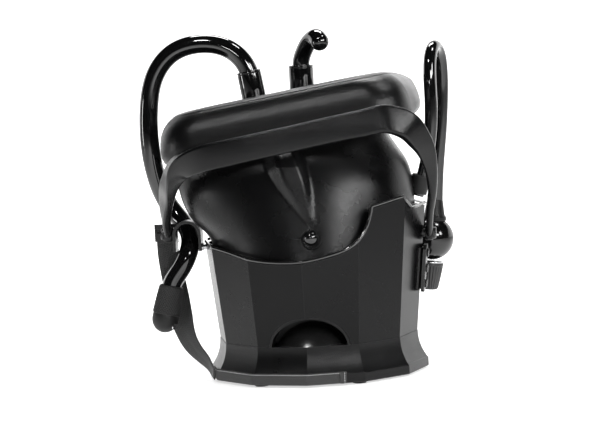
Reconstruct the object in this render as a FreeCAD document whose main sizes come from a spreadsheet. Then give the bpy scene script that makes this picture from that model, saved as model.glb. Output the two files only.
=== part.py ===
import FreeCAD, Part
import Sketcher
import math
import os

# Countertop sous vide circulator: faceted vessel, leaning head, bail handle, bent pipes.
# Millimetres, +Z up, front is -Y, the floor is z = 0.

V = FreeCAD.Vector
doc = FreeCAD.newDocument("circulator")
sheet = doc.addObject("Spreadsheet::Sheet", "Sizes")

sizes = [
    ("foot_rad", 100), ("foot_base", 2), ("lip_top", 11), ("flare_mid", 94.6), ("flare_mid_z", 21),
    ("flare_top", 35), ("shell_t", 2.6), ("wall_low", 91), ("wall_high", 105), ("wall_top", 165),
    ("bead_out", 1.3), ("bead_tall", 3),
    ("arch_half", 36), ("arch_tall", 26), ("arch_x", 2), ("dome_rad", 37),
    ("lean", 9), ("head_x", -11.5), ("head_z", 156),
    ("slab_w", 235), ("slab_d", 164), ("slab_low", 56), ("slab_tall", 50), ("slab_mid_x", 9.5),
    ("slab_corner", 34), ("slab_edge", 12), ("slab_in", 10), ("split_z", 98), ("seal_t", 2),
    ("hood_low", 90.6), ("hood_neck", 93.2), ("hood_mid_a", 102.5),
    ("hood_mid_b", 82), ("hood_high_a", 102.5), ("hood_high_b", 73.5), ("hood_top_a", 96.5),
    ("hood_top_b", 62),
    ("bar_tall", 23), ("bar_thick", 10), ("bar_front", -102), ("pin_rad", 3.5), ("pin_gap", 0.06),
    ("left_boss", 8), ("right_boss", 7), ("boss_rad", 7),
    ("pipe_rad", 8.75), ("pipe_t", 1.6), ("thin_rad", 5.3), ("thin_t", 1.2), ("hook_rad", 8),
    ("collar_rad", 11), ("collar_tall", 21), ("spout_collar_rad", 11.5), ("spout_collar_tall", 22),
    ("grip_rad", 12.5), ("grip_long", 27),
    ("ball_rad", 20), ("knob_rad", 12), ("knob_low_rad", 8.5), ("knob_long", 25), ("flutes", 24),
    ("stud_rad", 6.6), ("plate_t", 3), ("plate_w", 20), ("eye_in", 10.6), ("eye_t", 2.6),
    ("strap_w", 20), ("strap_t", 2), ("band_h", 11),
    ("motor_rad", 30), ("motor_tall", 56), ("shaft_rad", 3), ("impeller_rad", 22), ("volute_rad", 30),
    ("coil_rad", 52), ("coil_tube", 4),
]
row = 1
for alias, number in sizes:
    sheet.set("A%d" % row, alias)
    sheet.set("B%d" % row, str(number))
    sheet.setAlias("B%d" % row, alias)
    row += 1
doc.recompute()


def val(name):
    return float(sheet.get(name))


def bind(obj, prop, value):
    # a string is an expression on the sheet, anything else a plain number
    if isinstance(value, str):
        obj.setExpression(prop, value)
    else:
        setattr(obj, prop, value)


def at(x, y, z, axis=(0, 0, 1), angle=0):
    return FreeCAD.Placement(V(x, y, z), FreeCAD.Rotation(V(*axis), angle))


def along(point, direction):
    # local +Z turned to point along the direction
    return FreeCAD.Placement(V(*point), FreeCAD.Rotation(V(0, 0, 1), V(*direction)))


LEAN = val("lean")
HEAD = at(val("head_x"), 0, val("head_z"), (0, -1, 0), LEAN)


def cyl(name, radius, height, place=None):
    obj = doc.addObject("Part::Cylinder", name)
    bind(obj, "Radius", radius)
    bind(obj, "Height", height)
    obj.Placement = place or at(0, 0, 0)
    return obj


def cone(name, low, high, height, place=None):
    obj = doc.addObject("Part::Cone", name)
    bind(obj, "Radius1", low)
    bind(obj, "Radius2", high)
    bind(obj, "Height", height)
    obj.Placement = place or at(0, 0, 0)
    return obj


def ball(name, radius, place=None):
    obj = doc.addObject("Part::Sphere", name)
    bind(obj, "Radius", radius)
    obj.Placement = place or at(0, 0, 0)
    return obj


def ring(name, major, minor, place=None):
    obj = doc.addObject("Part::Torus", name)
    bind(obj, "Radius1", major)
    bind(obj, "Radius2", minor)
    obj.Placement = place or at(0, 0, 0)
    return obj


def box(name, length, width, height, place=None):
    obj = doc.addObject("Part::Box", name)
    bind(obj, "Length", length)
    bind(obj, "Width", width)
    bind(obj, "Height", height)
    obj.Placement = place or at(0, 0, 0)
    return obj


def cut(name, base, tool):
    obj = doc.addObject("Part::Cut", name)
    obj.Base = base
    obj.Tool = tool
    return obj


def fuse(name, items):
    obj = doc.addObject("Part::MultiFuse", name)
    obj.Shapes = items
    return obj


def common(name, items):
    obj = doc.addObject("Part::MultiCommon", name)
    obj.Shapes = items
    return obj


def bundle(name, items):
    obj = doc.addObject("Part::Compound", name)
    obj.Links = items
    return obj


def gon(name, radius, height):
    obj = doc.addObject("Part::RegularPolygon", name)
    obj.Polygon = 12
    bind(obj, "Circumradius", radius)
    if isinstance(height, str):
        obj.setExpression("Placement.Base.z", height)
    else:
        obj.Placement = at(0, 0, height)
    return obj


def loft(name, sections, ruled=True):
    obj = doc.addObject("Part::Loft", name)
    obj.Sections = sections
    obj.Solid = True
    obj.Ruled = ruled
    return obj


def straight(start, end, count):
    # evenly spaced points from start up to but not including end
    p = V(*start)
    step = (V(*end) - p) * (1.0 / count)
    return [tuple(p + step * i) for i in range(count)]


def splinePath(name, points):
    curve = Part.BSplineCurve()
    curve.interpolate([V(*p) for p in points])
    obj = doc.addObject("Part::Feature", name)
    obj.Shape = Part.Wire([curve.toShape()])
    return obj


def tube(name, points, radius):
    path = splinePath(name + "_path", points)
    first = V(*points[0])
    start = path.Shape.Edges[0].tangentAt(path.Shape.Edges[0].FirstParameter)
    circle = doc.addObject("Part::Circle", name + "_ring")
    bind(circle, "Radius", radius)
    circle.Placement = FreeCAD.Placement(first, FreeCAD.Rotation(V(0, 0, 1), start))
    obj = doc.addObject("Part::Sweep", name)
    obj.Sections = [circle]
    obj.Spine = (path, ["Edge1"])
    obj.Solid = True
    obj.Frenet = False
    return obj


def originPlane(body, role):
    for feature in body.Origin.OriginFeatures:
        if feature.Role == role:
            return feature
    raise RuntimeError("no plane " + role)


def bodySketch(body, name, role, curves):
    sketch = body.newObject("Sketcher::SketchObject", name)
    sketch.AttachmentSupport = [(originPlane(body, role), "")]
    sketch.MapMode = "FlatFace"
    for curve in curves:
        sketch.addGeometry(curve, False)
    return sketch


def polyline(points):
    # closed outline from corner points
    curves = []
    for i in range(len(points)):
        a = points[i]
        b = points[(i + 1) % len(points)]
        curves.append(Part.LineSegment(V(a[0], a[1], 0), V(b[0], b[1], 0)))
    return curves


def turned(name, points, place=None):
    # revolution about the body's own Z, outline given as (radius, height)
    body = doc.addObject("PartDesign::Body", name)
    sketch = bodySketch(body, name + "_outline", "XZ_Plane", polyline(points))
    rev = body.newObject("PartDesign::Revolution", name + "_turn")
    rev.Profile = sketch
    rev.ReferenceAxis = (sketch, ["V_Axis"])
    rev.Angle = 360
    body.Placement = place or at(0, 0, 0)
    return body


def padded(name, role, curves, length, place=None, midplane=False):
    body = doc.addObject("PartDesign::Body", name)
    sketch = bodySketch(body, name + "_outline", role, curves)
    pad = body.newObject("PartDesign::Pad", name + "_pad")
    pad.Profile = sketch
    bind(pad, "Length", length)
    pad.Midplane = midplane
    body.Placement = place or at(0, 0, 0)
    return body


nodes = {}


def keep(name, obj, place=None):
    if place is not None:
        obj.Placement = place
    nodes[name] = obj
    return obj


# ---------------------------------------------------------------- foot
FOOT_TOP = val("flare_top")
WALL_TOP = val("wall_top")
DRAFT = (val("wall_high") - val("wall_low")) / (WALL_TOP - FOOT_TOP)


def wallRadius(z):
    return val("wall_low") + DRAFT * (z - FOOT_TOP)


foot_outer = loft("foot_outer", [
    gon("foot_g1", "Sizes.foot_rad", "Sizes.foot_base"),
    gon("foot_g2", "Sizes.foot_rad", "Sizes.lip_top"),
    gon("foot_g3", "Sizes.flare_mid", "Sizes.flare_mid_z"),
    gon("foot_g4", "Sizes.wall_low + 0.4", "Sizes.flare_top"),
])
foot_inner = loft("foot_inner", [
    gon("foot_i1", "Sizes.foot_rad - 3.4", "Sizes.foot_base - 1"),
    gon("foot_i2", "Sizes.foot_rad - 3.4", "Sizes.lip_top"),
    gon("foot_i3", "Sizes.flare_mid - 3.4", "Sizes.flare_mid_z"),
    gon("foot_i4", "Sizes.wall_low - 3", "Sizes.flare_top - 3"),
])
foot_hollow = cut("foot_hollow", foot_outer, foot_inner)
foot_hole = cyl("foot_hole", "Sizes.volute_rad + 6", 20, at(0, 0, FOOT_TOP - 12))
keep("foot_shell", cut("foot_shell", foot_hollow, foot_hole))

# bottom cover plate inside the foot, six screws and six rubber feet
screw_ring = val("foot_rad") - 17
screw_angles = [i * 60 + 30 for i in range(6)]
cover_plate = loft("cover_plate", [
    gon("cover_g1", "Sizes.foot_rad - 3.8", "Sizes.foot_base + 0.6"),
    gon("cover_g2", "Sizes.foot_rad - 3.8", "Sizes.foot_base + 3.6"),
])
cover_holes = []
bottom_screws = []
for i, deg in enumerate(screw_angles):
    x = screw_ring * math.cos(math.radians(deg))
    y = screw_ring * math.sin(math.radians(deg))
    cover_holes.append(cyl("cover_hole%d" % i, 1.7, 8, at(x, y, 0)))
    cover_holes.append(cyl("cover_sink%d" % i, 3.4, 2, at(x, y, val("foot_base") - 0.6)))
    shank = cyl("screw_shank%d" % i, 1.5, 8, at(x, y, val("foot_base") + 1))
    head = cyl("screw_head%d" % i, 3, 1.2, at(x, y, val("foot_base")))
    bottom_screws.append(fuse("screw_solid%d" % i, [shank, head]))
cover_cuts = fuse("cover_cuts", cover_holes)
keep("bottom_cover", cut("bottom_cover", cover_plate, cover_cuts))
keep("bottom_screws", bundle("bottom_screws", bottom_screws))
feet = []
foot_ring = val("foot_rad") - 12
for i in range(6):
    deg = math.radians(i * 60)
    feet.append(cyl("foot_pad%d" % i, 6, val("foot_base") + 0.55,
                    at(foot_ring * math.cos(deg), foot_ring * math.sin(deg), 0)))
feet.append(cyl("foot_pad_mid", 10, val("foot_base") + 0.55, at(0, 0, 0)))
keep("rubber_feet", bundle("rubber_feet", feet))


# ---------------------------------------------------------------- vessel wall and rim
def wallSolid(name, grow, low, high):
    # twelve sided tapered solid following the wall, offset outward by grow
    return loft(name, [
        gon(name + "_a", wallRadius(low) + grow, low),
        gon(name + "_b", wallRadius(high) + grow, high),
    ])


def rimCutter(name, drop, y_from, y_long, front):
    # everything above the rim line, front half with the scoop or back half with a straight slope
    top = WALL_TOP + 20
    wide = val("foot_rad") + 40
    right = wallRadius(FOOT_TOP + 117)
    if front:
        curve = Part.BSplineCurve()
        curve.interpolate([
            V(-wide, 128 - drop, 0), V(-98.1, 126.1 - drop, 0), V(-67.2, 120.6 - drop, 0),
            V(-44.8, 115.2 - drop, 0), V(-18.7, 112.6 - drop, 0), V(4.6, 113.6 - drop, 0),
            V(25.8, 117.6 - drop, 0), V(45, 124.9 - drop, 0), V(53.9, 133.9 - drop, 0),
            V(59.7, 145.8 - drop, 0), V(62.8, 158 - drop, 0)])
        line = [(62.8, 158 - drop), (89, 163.9 - drop), (94.1, 152.1 - drop), (right, 152.4 - drop),
                (wide, 152.4 - drop), (wide, top), (-wide, top), (-wide, 128 - drop)]
        edges = [curve.toShape()]
    else:
        line = [(-wide, 128 - drop), (-98.1, 126.1 - drop), (right, 152.4 - drop),
                (wide, 152.4 - drop), (wide, top), (-wide, top), (-wide, 128 - drop)]
        edges = []
    for a, b in zip(line, line[1:]):
        edges.append(Part.makeLine(V(a[0], a[1], 0), V(b[0], b[1], 0)))
    face = doc.addObject("Part::Feature", name + "_face")
    face.Shape = Part.Face(Part.Wire(Part.__sortEdges__(edges)))
    face.Placement = at(0, y_from, 0, (1, 0, 0), 90)
    obj = doc.addObject("Part::Extrusion", name)
    obj.Base = face
    obj.DirMode = "Custom"
    obj.Dir = V(0, 1, 0)
    obj.LengthFwd = y_long
    obj.Solid = True
    return obj


def aboveRim(name, drop):
    front = rimCutter(name + "_front", drop, -140, 140, True)
    back = rimCutter(name + "_back", drop, -0.5, 140, False)
    return fuse(name, [front, back])


def ellipsePrism(name, half, tall, y_from, y_long):
    # half ellipse standing on the foot, running back along +Y
    oval = doc.addObject("Part::Ellipse", name + "_oval")
    oval.MajorRadius = max(half, tall)
    oval.MinorRadius = min(half, tall)
    oval.Placement = at(val("arch_x"), y_from, FOOT_TOP, (1, 0, 0), 90)
    obj = doc.addObject("Part::Extrusion", name)
    obj.Base = oval
    obj.DirMode = "Custom"
    obj.Dir = V(0, 1, 0)
    obj.LengthFwd = y_long
    obj.Solid = True
    return obj


ARCH_HALF = val("arch_half")
ARCH_TALL = val("arch_tall")
wall_outer = wallSolid("wall_outer", 0, FOOT_TOP + 0.05, WALL_TOP)
wall_inner = wallSolid("wall_inner", -val("shell_t"), FOOT_TOP - 1, WALL_TOP + 1)
wall_tube = cut("wall_tube", wall_outer, wall_inner)
wall_topless = cut("wall_topless", wall_tube, aboveRim("rim_low", val("bead_tall")))
arch_cut = ellipsePrism("arch_cut", ARCH_HALF, ARCH_TALL, -110, 45)
wall_arched = cut("wall_arched", wall_topless, arch_cut)
eye_pin_hole = cyl("eye_pin_hole", 2.3, 14, along((-106, -3, 119.4), (1, 0, 0)))
keep("vessel_wall", cut("vessel_wall", wall_arched, eye_pin_hole))

bead_outer = wallSolid("bead_outer", val("bead_out"), 100, WALL_TOP + 2)
bead_inner = wallSolid("bead_inner", -val("shell_t"), 99, WALL_TOP + 3)
bead_tube = cut("bead_tube", bead_outer, bead_inner)
bead_zone = cut("bead_zone", aboveRim("bead_from", val("bead_tall") - 0.05), aboveRim("bead_to", 0))
keep("rim_bead", common("rim_bead", [bead_tube, bead_zone]))

# arched outlet niche and the dome inside it
liner_out = ellipsePrism("liner_out", ARCH_HALF - 0.1, ARCH_TALL - 0.1, -86, 30)
liner_in = ellipsePrism("liner_in", ARCH_HALF - 2, ARCH_TALL - 2, -87, 29)
liner_body = cut("liner_body", liner_out, liner_in)
liner_low = box("liner_low", 100, 60, 40, at(val("arch_x") - 50, -100, FOOT_TOP - 39.9))
keep("arch_liner", cut("arch_liner", liner_body, liner_low))
dome_ball = ball("dome_ball", "Sizes.dome_rad", at(val("arch_x"), -60, FOOT_TOP - 18))
dome_zone = box("dome_zone", 90, 60, 40, at(val("arch_x") - 45, -120, FOOT_TOP + 0.15))
keep("outlet_dome", common("outlet_dome", [dome_ball, dome_zone]))

# ---------------------------------------------------------------- hood
def oval(name, a, b, place):
    obj = doc.addObject("Part::Ellipse", name)
    obj.MajorRadius = a
    obj.MinorRadius = b
    obj.Placement = place
    return obj


def hoodSolid(name, grow, low, high):
    # upright ovals in the vessel, leaning ovals under the head
    return loft(name, [
        oval(name + "_low", val("hood_low") + grow, val("hood_low") - 0.01 + grow, at(0, 0, low)),
        oval(name + "_neck", val("hood_neck") + grow, val("hood_neck") - 5 + grow, at(0, 1.5, 126)),
        oval(name + "_mid", val("hood_mid_a") + grow, val("hood_mid_b") + grow, HEAD * at(3, 3, 5)),
        oval(name + "_high", val("hood_high_a") + grow, val("hood_high_b") + grow, HEAD * at(-3, 1.5, 30)),
        oval(name + "_top", val("hood_top_a") + grow, val("hood_top_b") + grow, HEAD * at(-7.5, 0, high)),
    ], False)


HOOD_TOP = val("slab_low") - 0.3
hood_outer = hoodSolid("hood_outer", 0, 104, HOOD_TOP)
hood_inner = hoodSolid("hood_inner", -2.4, 103, HOOD_TOP + 1)
hood_hollow = cut("hood_hollow", hood_outer, hood_inner)
STUD = V(8.8, -87.4, 131)
OUT = V(0, -math.cos(math.radians(18)), math.sin(math.radians(18)))
stud_hole = cyl("stud_hole", val("stud_rad") + 3.1, 30, along(STUD - OUT * 15, OUT))
port_dir = V(4.84, 0, 18)
port_hole = cyl("port_hole", "Sizes.thin_rad + 0.25", 20, along((94.4, 16, 154), port_dir))
hood_pin_hole = cyl("hood_pin_hole", 2.4, 14, along((-98, -3, 119.4), (1, 0, 0)))
hood_cuts = fuse("hood_cuts", [stud_hole, port_hole, hood_pin_hole])
keep("hood_shell", cut("hood_shell", hood_hollow, hood_cuts))

# ---------------------------------------------------------------- head slab
SLAB_W = val("slab_w")
SLAB_D = val("slab_d")
SLAB_TALL = val("slab_tall")


def slabBlock(name, inset, low, tall, corner, edge):
    # block narrowing toward its top, upright edges and rims rounded
    half_w = SLAB_W / 2.0 - inset
    half_d = SLAB_D / 2.0 - inset
    narrow = val("slab_in")
    block = doc.addObject("Part::Wedge", name + "_wedge")
    block.Xmin, block.Xmax = -half_w, half_w
    block.Zmin, block.Zmax = -half_d, half_d
    block.Ymin, block.Ymax = 0, tall
    block.X2min, block.X2max = -half_w + narrow, half_w - narrow
    block.Z2min, block.Z2max = -half_d + narrow, half_d - narrow
    block.Placement = at(0, 0, low, (1, 0, 0), 90)
    block.recompute()
    rounded = doc.addObject("Part::Fillet", name)
    rounded.Base = block
    edges = []
    for i, e in enumerate(block.Shape.Edges):
        vertical = abs(e.Vertexes[0].Z - e.Vertexes[1].Z) > 5
        edges.append((i + 1, corner, corner) if vertical else (i + 1, edge, edge))
    rounded.Edges = edges
    return rounded


SPLIT = val("split_z")
SLAB_X = val("slab_mid_x")
slab_outer = slabBlock("slab_outer", 0, val("slab_low"), SLAB_TALL, val("slab_corner"), val("slab_edge"))
slab_inner = slabBlock("slab_inner", 3, val("slab_low") + 3, SLAB_TALL - 6, val("slab_corner") - 3,
                       val("slab_edge") - 3)
slab_hollow = cut("slab_hollow", slab_outer, slab_inner)
LP = HEAD.inverse().multVec(V(-54.2, 20, 275.8))
SP = HEAD.inverse().multVec(V(-8.5, 40, 270))
slab_top = val("slab_low") + SLAB_TALL
cover_zone = box("cover_zone", 300, 200, 60, at(-150, -100, SPLIT + val("seal_t") / 2.0))
tray_zone = box("tray_zone", 300, 200, 60, at(-150, -100, SPLIT - val("seal_t") / 2.0 - 60))
seal_zone = box("seal_zone", 300, 200, val("seal_t") - 0.1, at(-150, -100, SPLIT - val("seal_t") / 2.0 + 0.05))
pipe_bore = cyl("pipe_bore", "Sizes.pipe_rad + 0.4", 30, at(LP.x - SLAB_X, 20, slab_top - 15))
SPOUT_WORLD = V(-8.5, 40, 264)
SPOUT_LOCAL = HEAD.inverse() * FreeCAD.Placement(SPOUT_WORLD, FreeCAD.Rotation())
bore_place = at(-SLAB_X, 0, 0) * SPOUT_LOCAL * at(0, 0, -30)
spout_bore = cyl("spout_bore", "Sizes.hook_rad + 0.9", 60, bore_place)
cover_part = common("cover_part", [slab_hollow, cover_zone])
top_bores = fuse("top_bores", [pipe_bore, spout_bore])
SLAB_PLACE = HEAD * at(SLAB_X, 0, 0)
keep("head_cover", cut("head_cover", cover_part, top_bores), SLAB_PLACE)
tray_part = common("tray_part", [slab_hollow, tray_zone])
throat = cyl("throat", 52, 20, at(-SLAB_X, 0, val("slab_low") - 5))
keep("head_tray", cut("head_tray", tray_part, throat), SLAB_PLACE)
seal_outer = slabBlock("seal_outer", 1, val("slab_low"), SLAB_TALL, val("slab_corner") - 1, val("slab_edge") - 1)
seal_ring = cut("seal_ring", seal_outer, slab_inner)
keep("head_seal", common("head_seal", [seal_ring, seal_zone]), SLAB_PLACE)

# six posts inside the head carry the screws that close it
head_screws = []
for i, (sx, sy) in enumerate([(-95, -58), (0, -58), (95, -58), (-95, 58), (0, 58), (95, 58)]):
    shank = cyl("head_shank%d" % i, 1.6, 26, at(sx, sy, val("slab_low") + 4))
    cap = cyl("head_cap%d" % i, 3.4, 2, at(sx, sy, val("slab_low") + 3.1))
    head_screws.append(fuse("head_screw%d" % i, [shank, cap]))
keep("head_screws", bundle("head_screws", head_screws), SLAB_PLACE)

# ---------------------------------------------------------------- collars and pipes
CR = val("collar_rad")
PR = val("pipe_rad")
LEFT_SEAT = HEAD * at(LP.x, 20, slab_top + 0.05)
keep("left_collar", turned("left_collar", [
    (PR + 0.3, 0), (CR + 1, 0), (CR, 1), (CR, val("collar_tall") - 1),
    (CR - 1, val("collar_tall")), (PR + 0.3, val("collar_tall"))], LEFT_SEAT))
SR = val("spout_collar_rad")
HR = val("hook_rad")
SC_TALL = val("spout_collar_tall")
collar_blank = turned("collar_blank", [
    (HR + 0.4, -14), (SR, -14), (SR, SC_TALL - 1), (SR - 1, SC_TALL),
    (HR + 0.4, SC_TALL)], at(SPOUT_WORLD.x, SPOUT_WORLD.y, SPOUT_WORLD.z - 6))
slab_copy = slabBlock("slab_copy", -0.05, val("slab_low") - 0.05, SLAB_TALL + 0.1,
                      val("slab_corner"), val("slab_edge"))
slab_copy.Placement = SLAB_PLACE
keep("spout_collar", cut("spout_collar", collar_blank, slab_copy))

pipe_foot = tuple(HEAD.multVec(V(LP.x, 20, slab_top - 12)))
pipe_leave = tuple(HEAD.multVec(V(LP.x, 20, slab_top + 20)))
pipe_points = straight(pipe_foot, pipe_leave, 3) + [
    pipe_leave,
    (-71, 20, 298), (-98, 20, 304.5), (-124, 20, 297.6), (-141, 20, 279), (-149, 20, 250),
    (-147.5, 22, 190), (-137, 30, 156), (-118, 16, 132), (-116, -1, 115), (-124, -4, 99)]
GRIP_TOP = V(-133, -4.4, 85)
GRIP_DIR = V(-0.2295, -0.094, -0.9695)
GRIP_DIR.normalize()
pipe_points += straight(tuple(GRIP_TOP), tuple(GRIP_TOP + GRIP_DIR * 24), 3)
pipe_points.append(tuple(GRIP_TOP + GRIP_DIR * 24))
pipe_skin = tube("pipe_skin", pipe_points, "Sizes.pipe_rad")
pipe_core = tube("pipe_core", pipe_points, "Sizes.pipe_rad - Sizes.pipe_t")
keep("left_pipe", cut("left_pipe", pipe_skin, pipe_core))

# knurled grip turns on the pipe end, domed tip closes it, small metal outlet on its side
GR = val("grip_rad")
GL = val("grip_long")
GRIP = along(tuple(GRIP_TOP), tuple(GRIP_DIR))
keep("nozzle_grip", turned("nozzle_grip", [
    (PR + 0.4, 0), (GR - 1.5, 0), (GR, 2), (GR, GL - 1), (GR - 0.6, GL),
    (PR + 0.4, GL)], GRIP))
tip_points = [(0, GL + 0.1), (GR - 0.9, GL + 0.1), (GR - 0.9, GL + 4)]
for i in range(1, 7):
    turn = math.radians(15 * i)
    tip_points.append(((GR - 0.9) * math.cos(turn), GL + 4 + 13 * math.sin(turn)))
tip_points[-1] = (0, GL + 17)
tip_blank = turned("tip_blank", tip_points, GRIP)
FER_DIR = GRIP.Rotation.multVec(V(0, 0, 1)) * 0.35 + V(0.86, -0.36, -0.1)
FER_DIR.normalize()
FER_AT = GRIP.multVec(V(0, 0, GL + 6))
ferrule_seat = cyl("ferrule_seat", 3.1, 14, along(tuple(FER_AT + FER_DIR * 5), tuple(FER_DIR)))
keep("nozzle_tip", cut("nozzle_tip", tip_blank, ferrule_seat))
keep("outlet_ferrule", turned("outlet_ferrule", [(1.6, 5.5), (3, 5.5), (3, 12.4), (1.6, 12.4)],
                              along(tuple(FER_AT), tuple(FER_DIR))))

hook_points = straight((0, 0, -26), (0, 0, 14), 4) + [
    (0, 0, 14), (1, -0.5, 21), (5, -4.5, 30), (11.5, -11, 38.5), (18, -18, 41), (21.5, -24, 37.5)]
hook_rod = tube("hook_rod", hook_points, "Sizes.hook_rad")
hook_end = ball("hook_end", "Sizes.hook_rad", at(21.5, -24, 37.5))
keep("hook_spout", fuse("hook_spout", [hook_rod, hook_end]),
     at(SPOUT_WORLD.x, SPOUT_WORLD.y, SPOUT_WORLD.z))

thin_points = [
    (108.7, 66, 138), (109.6, 66, 152), (112.4, 66, 180), (116, 66, 210), (118.6, 66, 243),
    (118.8, 64, 268), (118, 56, 286), (117.3, 41, 293.5), (117, 26, 286), (116.6, 18, 268),
    (115.4, 16, 246), (110, 16, 213), (104, 16, 189), (99.5, 16, 173), (95.2, 16, 157)]
thin_skin = tube("thin_skin", thin_points, "Sizes.thin_rad")
thin_core = tube("thin_core", thin_points, "Sizes.thin_rad - Sizes.thin_t")
keep("right_pipe", cut("right_pipe", thin_skin, thin_core))
TR = val("thin_rad")
port_blank = turned("port_blank", [(TR + 0.25, -6), (TR + 3.2, -6), (TR + 3.2, 10), (TR + 2.4, 11),
                                   (TR + 0.25, 11)], along((97.35, 16, 165), port_dir))
hood_copy = hoodSolid("hood_copy", 0.05, 103, HOOD_TOP)
keep("rim_port", cut("rim_port", port_blank, hood_copy))

# ---------------------------------------------------------------- valve ball and fluted knob
BALL = V(103.5, 66, 112)
BR = val("ball_rad")
KNOB_DIR = V(-0.12, 0, -1)
KNOB_DIR.normalize()
DOWN = along(tuple(BALL), tuple(KNOB_DIR))
stem_bore = cyl("stem_bore", 4.1, 26, DOWN)
ball_blank = ball("ball_blank", "Sizes.ball_rad", FreeCAD.Placement(BALL, FreeCAD.Rotation()))
UP_DIR = V(0.1, 0, 1)
UP_DIR.normalize()
boot_seat = cyl("boot_seat", 6, 20, along(tuple(BALL + UP_DIR * 14), tuple(UP_DIR)))
pipe_seat = cyl("pipe_seat", 5.5, 20, along(tuple(BALL + UP_DIR * 12), tuple(UP_DIR)))
ball_cuts = fuse("ball_cuts", [stem_bore, boot_seat, pipe_seat])
keep("valve_ball", cut("valve_ball", ball_blank, ball_cuts))
BOOT_AT = along((106.2, 66, 131.5), (0.08, 0, 1))
boot_blank = turned("boot_blank", [(0, -4), (10.5, -4), (10.5, 2), (7.4, 17), (0, 17)], BOOT_AT)
boot_ball = ball("boot_ball", BR + 0.05, FreeCAD.Placement(BALL, FreeCAD.Rotation()))
thin_copy = tube("thin_copy", thin_points, "Sizes.thin_rad + 0.05")
boot_cuts = fuse("boot_cuts", [boot_ball, thin_copy])
keep("pipe_boot", cut("pipe_boot", boot_blank, boot_cuts))
radial = V(BALL.x, BALL.y, 0)
radial.normalize()
mount_rod = cyl("mount_rod", 9, 30, along((radial.x * 85, radial.y * 85, BALL.z), tuple(radial)))
wall_copy = wallSolid("wall_copy", 0.05, 60, WALL_TOP)
mount_ball = ball("mount_ball", BR + 0.05, FreeCAD.Placement(BALL, FreeCAD.Rotation()))
mount_cuts = fuse("mount_cuts", [wall_copy, mount_ball])
keep("valve_mount", cut("valve_mount", mount_rod, mount_cuts))
keep("valve_ring", turned("valve_ring", [(4.4, BR + 0.3), (12.2, BR + 0.3), (12.8, BR + 1.2),
                                         (12.2, BR + 2.4), (4.4, BR + 2.4)], DOWN))
KT = BR + 2.9
KL = val("knob_long")
K1 = val("knob_rad")
K2 = val("knob_low_rad")
knob = doc.addObject("PartDesign::Body", "knob_blank")
knob_sketch = bodySketch(knob, "knob_outline", "XZ_Plane", polyline([
    (0, KT), (K1, KT), (K1, KT + 3), (K2, KT + KL - 1.5), (K2 - 1.5, KT + KL), (0, KT + KL)]))
knob_turn = knob.newObject("PartDesign::Revolution", "knob_turn")
knob_turn.Profile = knob_sketch
knob_turn.ReferenceAxis = (knob_sketch, ["V_Axis"])
flute_sketch = bodySketch(knob, "flute_outline", "XY_Plane", [
    Part.Circle(V(K1 + 0.35, 0, 0), V(0, 0, 1), 0.95)])
flute = knob.newObject("PartDesign::Pocket", "flute")
flute.Profile = flute_sketch
flute.Length = KT + KL + 5
flute.Reversed = True
flute_ring = knob.newObject("PartDesign::PolarPattern", "flute_ring")
flute_ring.Originals = [flute]
flute_ring.Axis = (knob_sketch, ["V_Axis"])
flute_ring.Angle = 360
flute_ring.Occurrences = int(val("flutes"))
knob.Tip = flute_ring
knob.Placement = DOWN
keep("fluted_knob", fuse("fluted_knob", [knob, cyl("knob_stem", 4, KT - 4, DOWN * at(0, 0, 5))]))

# ---------------------------------------------------------------- right bracket plate
DRAFT_DEG = math.degrees(math.atan(DRAFT))
PW = val("plate_w") / 2.0
PLATE_LOW = 71
PLATE_HIGH = 114
PLATE_SCREWS = [78, 92, 106]
plate = padded("plate_blank", "YZ_Plane", polyline([
    (-PW, 2), (-PW + 2, 0), (PW - 2, 0), (PW, 2), (PW, PLATE_HIGH - PLATE_LOW - 4),
    (PW - 4, PLATE_HIGH - PLATE_LOW), (-PW + 4, PLATE_HIGH - PLATE_LOW),
    (-PW, PLATE_HIGH - PLATE_LOW - 4)]),
    "Sizes.plate_t", at(wallRadius(PLATE_LOW) + 1.6, 0, PLATE_LOW, (0, 1, 0), DRAFT_DEG))
# the bail turns about the line through these two pins
LEFT_PIN = V(-134, 0, 132)
RIGHT_PIN = V(106.2, 0, 124)
AXIS = V(RIGHT_PIN.x - LEFT_PIN.x, 0, RIGHT_PIN.z - LEFT_PIN.z)
AXIS.normalize()
plate_screw_holes = []
plate_screws = []
for i, z in enumerate(PLATE_SCREWS):
    spot = V(wallRadius(z) + 1.6, 0, z)
    out = V(math.cos(math.radians(DRAFT_DEG)), 0, -math.sin(math.radians(DRAFT_DEG)))
    plate_screw_holes.append(cyl("plate_hole%d" % i, 2.1, 20, along(tuple(spot - out * 8), tuple(out))))
    shank = cyl("plate_shank%d" % i, 2, 6.2, along(tuple(spot - out * 3), tuple(out)))
    cap = cyl("plate_cap%d" % i, 3.8, 1.6, along(tuple(spot + out * 3.15), tuple(out)))
    plate_screws.append(fuse("plate_screw%d" % i, [shank, cap]))
plate_cuts = fuse("plate_cuts", plate_screw_holes)
keep("right_bracket", cut("right_bracket", plate, plate_cuts))
spacer_out = wallSolid("spacer_out", 1.5, 73, 111)
spacer_in = wallSolid("spacer_in", 0.05, 72, 112)
spacer_tube = cut("spacer_tube", spacer_out, spacer_in)
spacer_zone = box("spacer_zone", 30, val("plate_w") - 2, 80, at(85, -PW + 1, 60))
spacer_blank = common("spacer_blank", [spacer_tube, spacer_zone])
spacer_cuts = fuse("spacer_cuts", [
    cyl("spacer_hole%d" % i, 2.1, 20, at(0, 0, 0)) for i in range(3)])
for i, z in enumerate(PLATE_SCREWS):
    doc.getObject("spacer_hole%d" % i).Placement = doc.getObject("plate_hole%d" % i).Placement
keep("bracket_spacer", cut("bracket_spacer", spacer_blank, spacer_cuts))
keep("bracket_screws", bundle("bracket_screws", plate_screws))
wall_final = nodes["vessel_wall"]
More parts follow.
